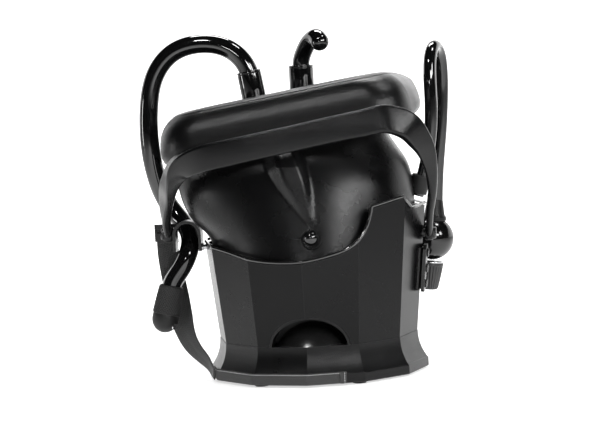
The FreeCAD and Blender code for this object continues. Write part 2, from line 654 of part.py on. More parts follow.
pin_seat = cyl("pin_seat", "Sizes.pin_rad + 0.02", 30, along(tuple(RIGHT_PIN - AXIS * 20), tuple(AXIS)))
wall_screw_cuts = fuse("wall_screw_cuts",
                       [cyl("wall_hole%d" % i, 2.1, 20, at(0, 0, 0)) for i in range(3)] + [pin_seat])
for i in range(3):
    doc.getObject("wall_hole%d" % i).Placement = doc.getObject("plate_hole%d" % i).Placement
wall_bored = cut("wall_bored", wall_final, wall_screw_cuts)
keep("vessel_wall", wall_bored)

# ---------------------------------------------------------------- bail handle
def quadSection(name, centre, run, depth, wide, deep):
    # rectangle across the run: wide is the side seen from the front, deep goes away from it
    run = V(*run).normalize()
    depth = V(*depth)
    depth = (depth - run * depth.dot(run)).normalize()
    side = run.cross(depth).normalize()
    c = V(*centre)
    half_w = side * (wide / 2.0)
    half_d = depth * (deep / 2.0)
    corners = [c - half_w - half_d, c + half_w - half_d, c + half_w + half_d, c - half_w + half_d]
    obj = doc.addObject("Part::Feature", name)
    obj.Shape = Part.makePolygon(corners + [corners[0]])
    return obj


BAR_T = val("bar_tall")
BAR_D = val("bar_thick")
BAR_Y = val("bar_front")
# from the left pin over the crossbar to the right pin: centre, width, depth, depth direction
bail_run = [
    (tuple(LEFT_PIN), 7.5, 13, (0, 0.6, 0.78)),
    ((-133.2, -15, 146.5), 7.7, 14, (-0.2, 0.55, 0.7)),
    ((-127.8, -37, 166.7), 8.8, 15, (-0.55, 0.5, 0.62)),
    ((-118.2, -64, 184.5), 14.5, 14, (-0.5, 0.65, 0.5)),
    ((-104.6, -84, 199), BAR_T - 1, 12, (-0.3, 0.9, 0.25)),
    ((-82.3, -98, 208.2), BAR_T, BAR_D, (-0.05, 1, 0.05)),
    ((-3.7, BAR_Y, 221), BAR_T, BAR_D, (0, 1, 0.05)),
    ((80.7, BAR_Y, 236.5), BAR_T, BAR_D, (0, 1, 0.05)),
    ((97.5, -97.5, 230.2), BAR_T - 0.5, 11, (0.05, 0.95, 0.2)),
    ((109, -86, 215.3), 19, 12, (0, 0.85, 0.45)),
    ((115.2, -66, 192.3), 12, 14, (0, 0.72, 0.66)),
    ((114.7, -45, 169.2), 8.2, 15, (0, 0.7, 0.7)),
    ((109.8, -23, 147.5), 6.8, 14, (0, 0.7, 0.7)),
    (tuple(RIGHT_PIN), 6, 13, (0, 0.7, 0.7)),
]
bail_sections = []
for i, (centre, wide, deep, depth) in enumerate(bail_run):
    before = bail_run[max(i - 1, 0)][0]
    after = bail_run[min(i + 1, len(bail_run) - 1)][0]
    run = tuple(V(*after) - V(*before))
    bail_sections.append(quadSection("bail_s%d" % i, centre, run, depth, wide, deep))
band = loft("band", bail_sections, True)
LEFT_B = val("left_boss")
RIGHT_B = val("right_boss")
left_boss = cyl("left_boss_disc", "Sizes.boss_rad", "Sizes.left_boss",
                along(tuple(LEFT_PIN - AXIS * (LEFT_B / 2)), tuple(AXIS)))
right_boss = cyl("right_boss_disc", "Sizes.boss_rad", "Sizes.right_boss",
                 along(tuple(RIGHT_PIN - AXIS * (RIGHT_B / 2)), tuple(AXIS)))
bail_solid = fuse("bail_solid", [band, left_boss, right_boss])
bail_bores = fuse("bail_bores", [
    cyl("left_bore", "Sizes.pin_rad + Sizes.pin_gap", 40, along(tuple(LEFT_PIN - AXIS * 20), tuple(AXIS))),
    cyl("right_bore", "Sizes.pin_rad + Sizes.pin_gap", 40, along(tuple(RIGHT_PIN - AXIS * 20), tuple(AXIS)))])
keep("bail", cut("bail", bail_solid, bail_bores))

PIN = val("pin_rad")


def pinBody(name, reach, place):
    # headed pin, head at the low end
    return turned(name, [(0, -2.4), (PIN + 1.2, -2.4), (PIN + 2.2, -1.4), (PIN + 2.2, -0.1), (PIN, -0.1),
                         (PIN, reach), (0, reach)], place)


LEFT_OUT = LEFT_PIN - AXIS * (LEFT_B / 2 + 0.4)
RIGHT_OUT = RIGHT_PIN + AXIS * (RIGHT_B / 2 + 0.4)
keep("left_pivot_pin", pinBody("left_pivot_pin", 11.4, along(tuple(LEFT_OUT), tuple(AXIS))))
keep("right_pivot_pin", pinBody("right_pivot_pin", 14.4, along(tuple(RIGHT_OUT), tuple(AXIS * -1))))

# ---------------------------------------------------------------- left eye bracket and strap clip
EYE_X = -116
EYE_Z = 131
EI = val("eye_in")
EO = EI + val("eye_t")
eye_ring_out = cyl("eye_ring_out", EO, 14, along((EYE_X, 6, EYE_Z), (0, -1, 0)))
eye_leg_out = box("eye_leg_out", 2 * EO, 14, 15, at(EYE_X - EO, -8, EYE_Z - 15))
eye_solid = fuse("eye_solid", [eye_ring_out, eye_leg_out])
eye_gap = cyl("eye_gap", EI, 16, along((EYE_X, 7, EYE_Z), (0, -1, 0)))
eye_slot = box("eye_slot", 2 * EI, 16, 40, at(EYE_X - EI, -9, EYE_Z - 40))
eye_pad = cyl("eye_pad", 6.2, 2.4, along((EYE_X - EO + 0.1, 0, LEFT_PIN.z), (1, 0, 0)))
eye_web = fuse("eye_web", [cut("eye_open", eye_solid, fuse("eye_void", [eye_gap, eye_slot])), eye_pad])
eye_clear = cyl("eye_clear", EI, 16, along((EYE_X, 7.5, EYE_Z), (0, -1, 0)))
pin_reach_left = cyl("pin_reach_left", "Sizes.pin_rad + 0.02", 40, along(tuple(LEFT_PIN - AXIS * 10), tuple(AXIS)))
eye_cuts = fuse("eye_cuts", [
    pin_reach_left, eye_clear, cyl("eye_small_hole", 2.25, 12, along((-108, -3, 119.4), (1, 0, 0)))])
keep("pipe_eye", cut("pipe_eye", eye_web, eye_cuts))
keep("eye_pin", turned("eye_pin", [(0, 0), (2.2, 0), (2.2, 2.75), (3.4, 2.75), (3.4, 4.2), (2.2, 4.2),
                                   (2.2, 12.5), (0, 12.5)], along((-105.45, -3, 119.4), (1, 0, 0))))
clip_plate = box("clip_plate", 21.4, 2.5, 16, at(-149.2, 12.4, 124))
clip_arm = box("clip_arm", 1.8, 8.85, 6, at(EYE_X - EO, 6.05, 122.5))
clip_bridge = box("clip_bridge", 19.6, 2.5, 3, at(-147, 12.4, 122.5))
clip_slot = box("clip_slot", 16, 8, 4, at(-147.5, 10, 131))
keep("strap_clip", cut("strap_clip", fuse("clip_solid", [clip_plate, clip_arm, clip_bridge]), clip_slot))

# ---------------------------------------------------------------- strap
def strapSection(name, centre, side, before, after, wide):
    # flat rectangle across the run of the strap, side is its long direction
    side = V(*side).normalize()
    run = (V(*before) - V(*after)).normalize()
    flat = run.cross(side).normalize()
    c = V(*centre)
    half_w = side * (wide / 2.0)
    half_t = flat * (val("strap_t") / 2.0)
    corners = [c - half_w - half_t, c + half_w - half_t, c + half_w + half_t, c - half_w + half_t]
    obj = doc.addObject("Part::Feature", name)
    obj.Shape = Part.makePolygon(corners + [corners[0]])
    return obj


SW = val("strap_w")
# centre, long direction, width, from the clip down to the foot
strap_run = [
    ((-139.6, 17.2, 130.5), (1, 0.02, 0), SW * 0.86),
    ((-137, 19, 104), (0.8, 0.6, 0.05), SW),
    ((-131, 17, 78), (0.72, 0.68, 0.12), SW),
    ((-123.5, 9, 52), (0.62, 0.6, 0.5), SW),
    ((-114, -7, 31), (0.45, 0.2, 0.87), SW),
    ((-105.2, -26, 17), (0.16, 0.03, 0.98), 15),
]
strap_sections = []
for i, (centre, side, wide) in enumerate(strap_run):
    before = strap_run[max(i - 1, 0)][0]
    after = strap_run[min(i + 1, len(strap_run) - 1)][0]
    strap_sections.append(strapSection("strap_s%d" % i, centre, side, before, after, wide))
keep("strap_hanging", loft("strap_hanging", strap_sections, True))
band_high = val("foot_base") + val("band_h")
band_ring_out = loft("band_ring_out", [
    gon("band_go1", "Sizes.foot_rad + 0.3 + Sizes.strap_t", "Sizes.foot_base + 0.3"),
    gon("band_go2", "Sizes.foot_rad + 0.3 + Sizes.strap_t", "Sizes.foot_base + Sizes.band_h")])
band_ring_in = loft("band_ring_in", [
    gon("band_gi1", "Sizes.foot_rad + 0.3", "Sizes.foot_base - 1"),
    gon("band_gi2", "Sizes.foot_rad + 0.3", "Sizes.foot_base + Sizes.band_h + 1")])
band_ring = cut("band_ring", band_ring_out, band_ring_in)
band_arc = cyl("band_arc", 130, 60, at(0, 0, -10, (0, 0, 1), 197.5))
band_arc.Angle = 93
band_strip = common("band_strip", [band_ring, band_arc])
keep("strap_band", band_strip)
seam_arc = cyl("seam_arc", 130, 60, at(0, 0, -10, (0, 0, 1), 287))
seam_arc.Angle = 3
seam_out = loft("seam_out", [
    gon("seam_go1", "Sizes.foot_rad + 0.5 + 2 * Sizes.strap_t", "Sizes.foot_base + 0.3"),
    gon("seam_go2", "Sizes.foot_rad + 0.5 + 2 * Sizes.strap_t", "Sizes.foot_base + Sizes.band_h")])
seam_in = loft("seam_in", [
    gon("seam_gi1", "Sizes.foot_rad + 0.35 + Sizes.strap_t", "Sizes.foot_base - 1"),
    gon("seam_gi2", "Sizes.foot_rad + 0.35 + Sizes.strap_t", "Sizes.foot_base + Sizes.band_h + 1")])
keep("strap_stop", common("strap_stop", [cut("seam_ring", seam_out, seam_in), seam_arc]))

# ---------------------------------------------------------------- push button
SD = val("stud_rad")
STUD_AT = along(tuple(STUD), tuple(OUT))
stud_points = [(0, -7), (3, -7), (3, -1), (SD - 0.8, -1)]
for i in range(0, 7):
    turn = math.radians(-10 + 100 * i / 6.0)
    stud_points.append(((SD - 0.2) * math.cos(turn), 4 + (SD - 0.2) * math.sin(turn)))
stud_points[-1] = (0, 4 + SD - 0.2)
keep("push_stud", turned("push_stud", stud_points, STUD_AT))
keep("stud_bezel", turned("stud_bezel", [(SD + 0.3, -6), (SD + 3, -6), (SD + 3, 0.8), (SD + 2.2, 1.6),
                                         (SD + 0.3, 1.6)], STUD_AT))
keep("stud_guide", turned("stud_guide", [(3.4, -5.6), (5.2, -5.6), (5.2, -3.2), (3.4, -3.2)], STUD_AT))
keep("switch_block", turned("switch_block", [(0, -20), (SD + 3, -20), (SD + 3, -6.1), (4, -6.1), (4, -9.4),
                                             (0, -9.4)], STUD_AT))

# ---------------------------------------------------------------- pump, heater and controls inside
SHAFT = val("shaft_rad")
VR = val("volute_rad")
IR = val("impeller_rad")
MR = val("motor_rad")
MT = val("motor_tall")
VOL_LOW = 12
VOL_HIGH = 42
keep("pump_volute", turned("pump_volute", [
    (8, VOL_LOW), (VR, VOL_LOW), (VR, VOL_HIGH), (SHAFT + 0.35, VOL_HIGH), (SHAFT + 0.35, VOL_HIGH - 3),
    (VR - 3, VOL_HIGH - 3), (VR - 3, VOL_LOW + 3), (8, VOL_LOW + 3)]))
hub = cyl("hub", 7, 18, at(0, 0, VOL_LOW + 5))
disc = cyl("disc", "Sizes.impeller_rad", 2, at(0, 0, VOL_LOW + 5))
vanes = []
for i in range(6):
    vane = box("vane%d" % i, IR - 5, 2, 14, at(4, -1, VOL_LOW + 6))
    vane.Placement = at(0, 0, 0, (0, 0, 1), i * 60) * at(5, -1, VOL_LOW + 6)
    vanes.append(vane)
wheel = fuse("wheel", [hub, disc] + vanes)
wheel_bore = cyl("wheel_bore", "Sizes.shaft_rad + 0.02", 40, at(0, 0, VOL_LOW))
keep("impeller", cut("impeller", wheel, wheel_bore))
keep("motor_shaft", cyl("motor_shaft", "Sizes.shaft_rad", 48, at(0, 0, VOL_LOW + 6)))
keep("motor", turned("motor", [
    (SHAFT + 0.35, 56), (MR - 3, 56), (MR, 59), (MR, 53 + MT), (MR - 4, 56 + MT), (0, 56 + MT), (0, 68),
    (SHAFT + 0.35, 68)]))
keep("shaft_seal", turned("shaft_seal", [
    (SHAFT + 0.1, VOL_HIGH + 0.1), (9, VOL_HIGH + 0.1), (9, VOL_HIGH + 4), (SHAFT + 0.1, VOL_HIGH + 4)]))
bracket_plate = cyl("motor_disc", "Sizes.motor_rad + 5", 3, at(0, 0, 52.8))
legs = []
for i in range(4):
    deg = math.radians(45 + 90 * i)
    legs.append(cyl("motor_leg%d" % i, 3, 52.9 - FOOT_TOP, at(40 * math.cos(deg), 40 * math.sin(deg), FOOT_TOP)))
    legs.append(box("motor_arm%d" % i, 27, 6, 3,
                    at(0, 0, 0, (0, 0, 1), 45 + 90 * i) * at(30, -3, 52.8)))
mount_disc = fuse("mount_disc", [bracket_plate] + legs)
keep("motor_mount", cut("motor_mount", mount_disc, cyl("mount_bore", SHAFT + 4, 20, at(0, 0, 45))))
COIL_Z = 55.85 + val("coil_tube")
coil_low = ring("coil_low", "Sizes.coil_rad", "Sizes.coil_tube", at(0, 0, COIL_Z))
coil_lead = cyl("coil_lead", "Sizes.coil_tube - 0.7", 30, at(0, val("coil_rad"), COIL_Z))
coil_lead2 = cyl("coil_lead2", "Sizes.coil_tube - 0.7", 30,
                 at(12, math.sqrt(val("coil_rad") ** 2 - 144), COIL_Z))
keep("heater_coil", fuse("heater_coil", [coil_low, coil_lead, coil_lead2]))
probe_rod = cyl("probe_rod", 2.5, 62, at(66, 0, FOOT_TOP))
probe_cap = cyl("probe_cap", 5, 8, at(66, 0, FOOT_TOP + 62))
keep("temperature_probe", fuse("temperature_probe", [probe_rod, probe_cap]))
keep("control_board", box("control_board", 120, 78, 1.6, at(-60, -39, 0)),
     SLAB_PLACE * at(-55, -39, val("slab_low") + 9))
keep("relay_block", box("relay_block", 40, 30, 18), SLAB_PLACE * at(-40, -15, val("slab_low") + 10.8))
flange = box("flange", 34, 3, 28, at(-17, 0, -14))
core = box("core", 27, 16, 21, at(-13.5, -16, -10.5))
bore = box("bore", 22, 14, 16, at(-11, -10, -8))
pins = [cyl("blade%d" % i, 1.2, 7, along((x, -11, -1), (0, 1, 0))) for i, x in enumerate([-6, 0, 6])]
socket = fuse("socket", [cut("socket_shell", fuse("socket_solid", [flange, core]), bore)] + pins)
INLET = at(0, 0, 0, (0, 0, 1), 15) * at(0, wallRadius(62) * math.cos(math.radians(15)) + 0.15, 62, (1, 0, 0),
                                      -DRAFT_DEG)
keep("power_inlet", socket, INLET)
inlet_hole = box("inlet_hole", 27.6, 40, 21.6)
inlet_hole.Placement = INLET * at(-13.8, -25, -10.8)
keep("vessel_wall", cut("vessel_wall_final", wall_bored, inlet_hole))

doc.recompute()

# ---------------------------------------------------------------- check, label, write
for name in nodes:
    if doc.getObject(name) is not None and doc.getObject(name) is not nodes[name]:
        doc.getObject(name).Label = name + "_blank"
bad = []
for obj in doc.Objects:
    states = [s for s in obj.State if s in ("Invalid", "Error")]
    if states:
        bad.append(obj.Name + " " + ",".join(states))
for name, obj in nodes.items():
    obj.Label = name
    shape = obj.Shape
    if shape.isNull() or not shape.isValid() or len(shape.Solids) == 0:
        bad.append(name + " shape")
if bad:
    raise RuntimeError("broken pieces: " + "; ".join(bad))
os.makedirs("parts", exist_ok=True)
for name, obj in nodes.items():
    obj.Shape.exportStep("parts/" + name + ".step")
    box_now = obj.Shape.BoundBox
    print(name, len(obj.Shape.Solids), round(obj.Shape.Volume / 1000.0, 2),
          [round(n, 1) for n in (box_now.XMin, box_now.XMax, box_now.YMin, box_now.YMax,
                                 box_now.ZMin, box_now.ZMax)])
print("pieces", len(nodes))
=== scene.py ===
import bmesh
import bpy
import math
import numpy as np
from mathutils import Matrix, Vector


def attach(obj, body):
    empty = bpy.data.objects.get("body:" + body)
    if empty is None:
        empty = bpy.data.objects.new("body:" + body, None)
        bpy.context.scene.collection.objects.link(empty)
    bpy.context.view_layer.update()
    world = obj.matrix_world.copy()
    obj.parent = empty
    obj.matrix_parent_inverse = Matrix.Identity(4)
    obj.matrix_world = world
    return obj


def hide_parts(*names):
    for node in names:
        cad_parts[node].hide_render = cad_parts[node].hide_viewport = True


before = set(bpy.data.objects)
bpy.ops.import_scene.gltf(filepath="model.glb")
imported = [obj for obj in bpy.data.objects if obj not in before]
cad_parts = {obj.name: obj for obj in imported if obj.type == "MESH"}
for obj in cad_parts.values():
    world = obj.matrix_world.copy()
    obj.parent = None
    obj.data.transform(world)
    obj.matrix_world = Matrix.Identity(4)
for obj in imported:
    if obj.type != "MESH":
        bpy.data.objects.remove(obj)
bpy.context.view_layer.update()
print("frame loaded")

mm = 0.001


def pt(x, y, z):
    return Vector((x, y, z)) * mm


def grey(value):
    return (value, value, value)


# camera first: a long lens, a little above the bench and rolled slightly
cameraFacts = {"eye": (316.86, -2580.62, 383.93), "aim": (-11.17, -0.16, 148.43), "roll": 3.0, "lens": 171.4}


def makeCamera():
    data = bpy.data.cameras.new("benchCamera")
    data.lens = cameraFacts["lens"]
    data.sensor_width = 36
    data.clip_start = 0.1
    data.clip_end = 60
    cam = bpy.data.objects.new("benchCamera", data)
    bpy.context.scene.collection.objects.link(cam)
    eye = pt(*cameraFacts["eye"])
    look = (pt(*cameraFacts["aim"]) - eye).normalized()
    turn = look.to_track_quat("-Z", "Y").to_matrix().to_4x4()
    spin = Matrix.Rotation(math.radians(-cameraFacts["roll"]), 4, "Z")
    cam.matrix_world = Matrix.Translation(eye) @ turn @ spin
    bpy.context.scene.camera = cam


makeCamera()
print("camera placed")


# node materials; every length is in metres of object space
def nodeMaterial(name):
    mat = bpy.data.materials.new(name)
    mat.use_nodes = True
    tree = mat.node_tree
    shader = tree.nodes["Principled BSDF"]
    coord = tree.nodes.new("ShaderNodeTexCoord")
    return mat, tree, shader, coord


def addNoise(tree, coord, scale, detail=4.0, rough=0.55, output="Object"):
    noise = tree.nodes.new("ShaderNodeTexNoise")
    noise.inputs["Scale"].default_value = scale
    noise.inputs["Detail"].default_value = detail
    noise.inputs["Roughness"].default_value = rough
    tree.links.new(coord.outputs[output], noise.inputs["Vector"])
    return noise


def addRange(tree, source, low, high, fromLow=0.3, fromHigh=0.7):
    ramp = tree.nodes.new("ShaderNodeMapRange")
    ramp.inputs["From Min"].default_value = fromLow
    ramp.inputs["From Max"].default_value = fromHigh
    ramp.inputs["To Min"].default_value = low
    ramp.inputs["To Max"].default_value = high
    tree.links.new(source, ramp.inputs["Value"])
    return ramp


def addTint(tree, factor, dark, light):
    mix = tree.nodes.new("ShaderNodeMix")
    mix.data_type = "RGBA"
    mix.inputs["A"].default_value = (*dark, 1)
    mix.inputs["B"].default_value = (*light, 1)
    tree.links.new(factor, mix.inputs["Factor"])
    return mix.outputs["Result"]


def addBump(tree, height, strength, distance, before=None):
    bump = tree.nodes.new("ShaderNodeBump")
    bump.inputs["Strength"].default_value = strength
    bump.inputs["Distance"].default_value = distance
    tree.links.new(height, bump.inputs["Height"])
    if before is not None:
        tree.links.new(before.outputs["Normal"], bump.inputs["Normal"])
    return bump


def addMath(tree, kind, *items):
    # one arithmetic node; each item is a socket or a number
    node = tree.nodes.new("ShaderNodeMath")
    node.operation = kind
    for slotIndex, item in enumerate(items):
        if isinstance(item, (int, float)):
            node.inputs[slotIndex].default_value = item
        else:
            tree.links.new(item, node.inputs[slotIndex])
    return node.outputs["Value"]


def paintedEdgeHighlight(tree, radius=0.0012):
    # painted highlight: brighter along sharp edges, where a real edge would catch the light
    bevel = tree.nodes.new("ShaderNodeBevel")
    bevel.samples = 4
    bevel.inputs["Radius"].default_value = radius
    geo = tree.nodes.new("ShaderNodeNewGeometry")
    dot = tree.nodes.new("ShaderNodeVectorMath")
    dot.operation = "DOT_PRODUCT"
    tree.links.new(bevel.outputs["Normal"], dot.inputs[0])
    tree.links.new(geo.outputs["Normal"], dot.inputs[1])
    return addRange(tree, dot.outputs["Value"], 1.0, 0.0, 0.9, 1.0).outputs["Result"]


# fine leather grain on the moulded housings
grainFacts = {"cell": 760, "strength": 0.3, "depth": 0.0002, "dark": (0.0025, 0.0025, 0.0027),
              "light": (0.0045, 0.0045, 0.0048), "roughLow": 0.27, "roughHigh": 0.36}


def makeGrain(name, facts=grainFacts, specular=0.5):
    mat, tree, shader, coord = nodeMaterial(name)
    cells = tree.nodes.new("ShaderNodeTexVoronoi")
    cells.feature = "DISTANCE_TO_EDGE"
    cells.inputs["Scale"].default_value = facts["cell"]
    warp = addNoise(tree, coord, 260, 2.0)
    shift = tree.nodes.new("ShaderNodeVectorMath")
    shift.operation = "MULTIPLY_ADD"
    shift.inputs[1].default_value = (0.0012, 0.0012, 0.0012)
    tree.links.new(warp.outputs["Color"], shift.inputs[0])
    tree.links.new(coord.outputs["Object"], shift.inputs[2])
    tree.links.new(shift.outputs["Vector"], cells.inputs["Vector"])
    pebble = addRange(tree, cells.outputs["Distance"], 0.0, 1.0, 0.02, 0.32)
    blotch = addNoise(tree, coord, 22, 5.0)
    tint = addTint(tree, blotch.outputs["Fac"], facts["dark"], facts["light"])
    tree.links.new(tint, shader.inputs["Base Color"])
    rough = addRange(tree, blotch.outputs["Fac"], facts["roughLow"], facts["roughHigh"])
    tree.links.new(rough.outputs["Result"], shader.inputs["Roughness"])
    bump = addBump(tree, pebble.outputs["Result"], facts["strength"], facts["depth"])
    tree.links.new(bump.outputs["Normal"], shader.inputs["Normal"])
    shader.inputs["Specular IOR Level"].default_value = specular
    return mat


def makeSatin(name, dark, light, roughLow, roughHigh, specular=0.5, fine=1500, strength=0.08, coat=0.0):
    mat, tree, shader, coord = nodeMaterial(name)
    cloud = addNoise(tree, coord, 26, 5.0)
    tint = addTint(tree, cloud.outputs["Fac"], dark, light)
    # painted highlight: the base tone is lifted along the sharp edges
    edgeShine = paintedEdgeHighlight(tree)
    edgeShineMix = tree.nodes.new("ShaderNodeMix")
    edgeShineMix.data_type = "RGBA"
    edgeShineMix.inputs["B"].default_value = (*[min(1, c * 2.6 + 0.01) for c in light], 1)
    tree.links.new(tint, edgeShineMix.inputs["A"])
    tree.links.new(edgeShine, edgeShineMix.inputs["Factor"])
    tree.links.new(edgeShineMix.outputs["Result"], shader.inputs["Base Color"])
    rough = addRange(tree, cloud.outputs["Fac"], roughLow, roughHigh)
    tree.links.new(rough.outputs["Result"], shader.inputs["Roughness"])
    speck = addNoise(tree, coord, fine, 2.0)
    bump = addBump(tree, speck.outputs["Fac"], strength, 0.00008)
    tree.links.new(bump.outputs["Normal"], shader.inputs["Normal"])
    shader.inputs["Specular IOR Level"].default_value = specular
    if coat:
        shader.inputs["Coat Weight"].default_value = coat
        shader.inputs["Coat Roughness"].default_value = 0.05
    return mat


def makeMetal(name, dark, light, roughLow, roughHigh, streak=False):
    mat, tree, shader, coord = nodeMaterial(name)
    shader.inputs["Metallic"].default_value = 1.0
    grit = addNoise(tree, coord, 420 if streak else 60, 5.0)
    tint = addTint(tree, grit.outputs["Fac"], dark, light)
    tree.links.new(tint, shader.inputs["Base Color"])
    rough = addRange(tree, grit.outputs["Fac"], roughLow, roughHigh)
    tree.links.new(rough.outputs["Result"], shader.inputs["Roughness"])
    bump = addBump(tree, grit.outputs["Fac"], 0.05, 0.00005)
    tree.links.new(bump.outputs["Normal"], shader.inputs["Normal"])
    return mat


# herringbone tape: slanted yarns in columns, with fine ribs between them
webbingFacts = {"columns": 3.0, "pitch": 0.62, "slope": 2.2, "ribs": 13, "dark": grey(0.002),
                "light": grey(0.06)}
fullTurn = 6.2832


def makeWebbing(name):
    f = webbingFacts
    mat, tree, shader, coord = nodeMaterial(name)
    split = tree.nodes.new("ShaderNodeSeparateXYZ")
    tree.links.new(coord.outputs["UV"], split.inputs["Vector"])
    acrossTape, alongTape = split.outputs["X"], split.outputs["Y"]
    columns = addMath(tree, "FRACT", addMath(tree, "MULTIPLY", acrossTape, f["columns"]))
    zigzag = addMath(tree, "ABSOLUTE", addMath(tree, "SUBTRACT", columns, 0.5))
    slant = addMath(tree, "ADD", addMath(tree, "MULTIPLY", alongTape, f["pitch"]),
                    addMath(tree, "MULTIPLY", zigzag, f["slope"]))
    yarn = addMath(tree, "SINE", addMath(tree, "MULTIPLY", slant, fullTurn))
    rib = addMath(tree, "SINE", addMath(tree, "MULTIPLY", acrossTape, fullTurn * f["ribs"]))
    weave = addMath(tree, "MAXIMUM", yarn, addMath(tree, "MULTIPLY", rib, 0.8))
    height = addRange(tree, weave, 0.0, 1.0, -1.0, 1.0)
    fuzz = addNoise(tree, coord, 3, 6.0, 0.7, "UV")
    tint = addTint(tree, height.outputs["Result"], f["dark"], f["light"])
    tree.links.new(tint, shader.inputs["Base Color"])
    rough = addRange(tree, fuzz.outputs["Fac"], 0.62, 0.85)
    tree.links.new(rough.outputs["Result"], shader.inputs["Roughness"])
    bump = addBump(tree, height.outputs["Result"], 0.8, 0.00035)
    fluff = addBump(tree, fuzz.outputs["Fac"], 0.2, 0.00012, bump)
    tree.links.new(fluff.outputs["Normal"], shader.inputs["Normal"])
    shader.inputs["Sheen Weight"].default_value = 0.25
    shader.inputs["Sheen Roughness"].default_value = 0.4
    return mat


grainSkin = makeGrain("grainSkin", specular=0.3)
slabSkin = makeGrain("slabSkin", dict(grainFacts, roughLow=0.27, roughHigh=0.33), 0.36)
bailSkin = makeGrain("bailSkin", dict(grainFacts, strength=0.2, roughLow=0.2, roughHigh=0.26), 0.32)
softGrain = makeGrain("softGrain", dict(grainFacts, strength=0.2, roughLow=0.24, roughHigh=0.32), 0.34)
domeSatin = makeSatin("domeSatin", grey(0.006), grey(0.01), 0.2, 0.26, 0.5, 900, 0.05)
beadGloss = makeSatin("beadGloss", grey(0.004), grey(0.007), 0.1, 0.16, 0.6, 900, 0.02,
                      coat=1.0)
satinWall = makeSatin("satinWall", (0.0035, 0.0035, 0.0037), (0.0035, 0.0035, 0.0038), 0.22, 0.29, 0.19)
satinDark = makeSatin("satinDark", grey(0.003), grey(0.005), 0.36, 0.5, 0.3)
glossBlack = makeSatin("glossBlack", (0.003, 0.003, 0.0032), (0.005, 0.005, 0.0052), 0.05, 0.11, 0.6, 900,
                       0.02, coat=0.6)
polishedBlack = makeSatin("polishedBlack", grey(0.003), grey(0.006), 0.1, 0.18, 0.5, 900,
                          0.03, coat=0.3)
bracketPaint = makeSatin("bracketPaint", grey(0.005), grey(0.009), 0.22, 0.34, 0.5, 1200,
                         0.1)
rubberBlack = makeSatin("rubberBlack", grey(0.008), grey(0.014), 0.48, 0.64, 0.35, 800,
                        0.25)
knobPlastic = makeSatin("knobPlastic", grey(0.02), grey(0.03), 0.4, 0.52, 0.45, 1000, 0.2)
brightChrome = makeMetal("brightChrome", (0.62, 0.62, 0.63), (0.75, 0.75, 0.76), 0.08, 0.16)
screwSteel = makeMetal("screwSteel", (0.3, 0.3, 0.31), (0.42, 0.42, 0.43), 0.25, 0.4, True)
shaftSteel = makeMetal("shaftSteel", (0.45, 0.45, 0.46), (0.58, 0.58, 0.6), 0.2, 0.34, True)
castMetal = makeMetal("castMetal", grey(0.4), grey(0.52), 0.4, 0.55)
boardGreen = makeSatin("boardGreen", (0.01, 0.07, 0.03), (0.015, 0.11, 0.045), 0.3, 0.45, 0.5, 600, 0.3)
pumpGrey = makeSatin("pumpGrey", grey(0.06), grey(0.09), 0.4, 0.55)
wheelGrey = makeSatin("wheelGrey", grey(0.2), grey(0.27), 0.4, 0.5)
threadPale = makeSatin("threadPale", grey(0.25), grey(0.4), 0.5, 0.65, 0.5, 2200, 0.5)
webbing = makeWebbing("webbing")
print("materials made")


# mesh helpers
def addMesh(name, verts, faces, material, bodyName="base", replaced=(), smooth=True, uvs=None):
    mesh = bpy.data.meshes.new(name)
    mesh.from_pydata([tuple(v) for v in verts], [], faces)
    mesh.validate()
    mesh.update()
    if smooth:
        mesh.shade_smooth()
    if uvs is not None:
        layer = mesh.uv_layers.new(name="tape")
        for loop in mesh.loops:
            layer.data[loop.index].uv = uvs[loop.vertex_index]
    obj = bpy.data.objects.new(name, mesh)
    bpy.context.scene.collection.objects.link(obj)
    mesh.materials.append(material)
    fixNormals(mesh)
    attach(obj, bodyName)
    if replaced:
        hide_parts(*replaced)
    return obj


def fixNormals(mesh):
    bm = bmesh.new()
    bm.from_mesh(mesh)
    bmesh.ops.recalc_face_normals(bm, faces=bm.faces)
    bm.to_mesh(mesh)
    bm.free()


def creaseBy(obj, degrees):
    # keeps edges sharper than the angle crisp
    obj.data.set_sharp_from_angle(angle=math.radians(degrees))


def gridFaces(rowCount, colCount):
    # quads between each ring of points and the next
    faces = []
    for r in range(rowCount - 1):
        for c in range(colCount):
            a = r * colCount + c
            b = r * colCount + (c + 1) % colCount
            faces.append((a, b, b + colCount, a + colCount))
    return faces


def cappedFaces(rowCount, colCount):
    # the same, with a face over each end
    faces = gridFaces(rowCount, colCount)
    count = rowCount * colCount
    faces.append(tuple(range(colCount)))
    faces.append(tuple(range(count - colCount, count)))
    return faces


def smoothRoute(points, count):
    # natural cubic through the points, spaced by chord length
    p = np.array([tuple(q) for q in points], float)
    gaps = np.linalg.norm(np.diff(p, axis=0), axis=1)
    t = np.concatenate([[0], np.cumsum(gaps)])
    n = len(p)
    a = np.zeros((n, n))
    b = np.zeros((n, 3))
    a[0, 0] = a[-1, -1] = 1
    for i in range(1, n - 1):
        a[i, i - 1] = gaps[i - 1]
        a[i, i] = 2 * (gaps[i - 1] + gaps[i])
        a[i, i + 1] = gaps[i]
        b[i] = 6 * ((p[i + 1] - p[i]) / gaps[i] - (p[i] - p[i - 1]) / gaps[i - 1])
    bend = np.linalg.solve(a, b)
    out = []
    for s in np.linspace(0, t[-1], count):
        i = min(int(np.searchsorted(t, s, side="right")) - 1, n - 2)
        h = gaps[i]
        u = (s - t[i]) / h
        w = 1 - u
        q = w * p[i] + u * p[i + 1] + h * h / 6 * ((w ** 3 - w) * bend[i] + (u ** 3 - u) * bend[i + 1])
        out.append(Vector(q))
    return out


def routeFrames(route):
    # direction and a side vector carried along without twisting
    dirs = []
    for i in range(len(route)):
        a = route[max(i - 1, 0)]
        b = route[min(i + 1, len(route) - 1)]
        dirs.append((b - a).normalized())
    side = dirs[0].orthogonal().normalized()
    sides = []
    for d in dirs:
        side = (side - d * side.dot(d)).normalized()
        sides.append(side)
    return dirs, sides


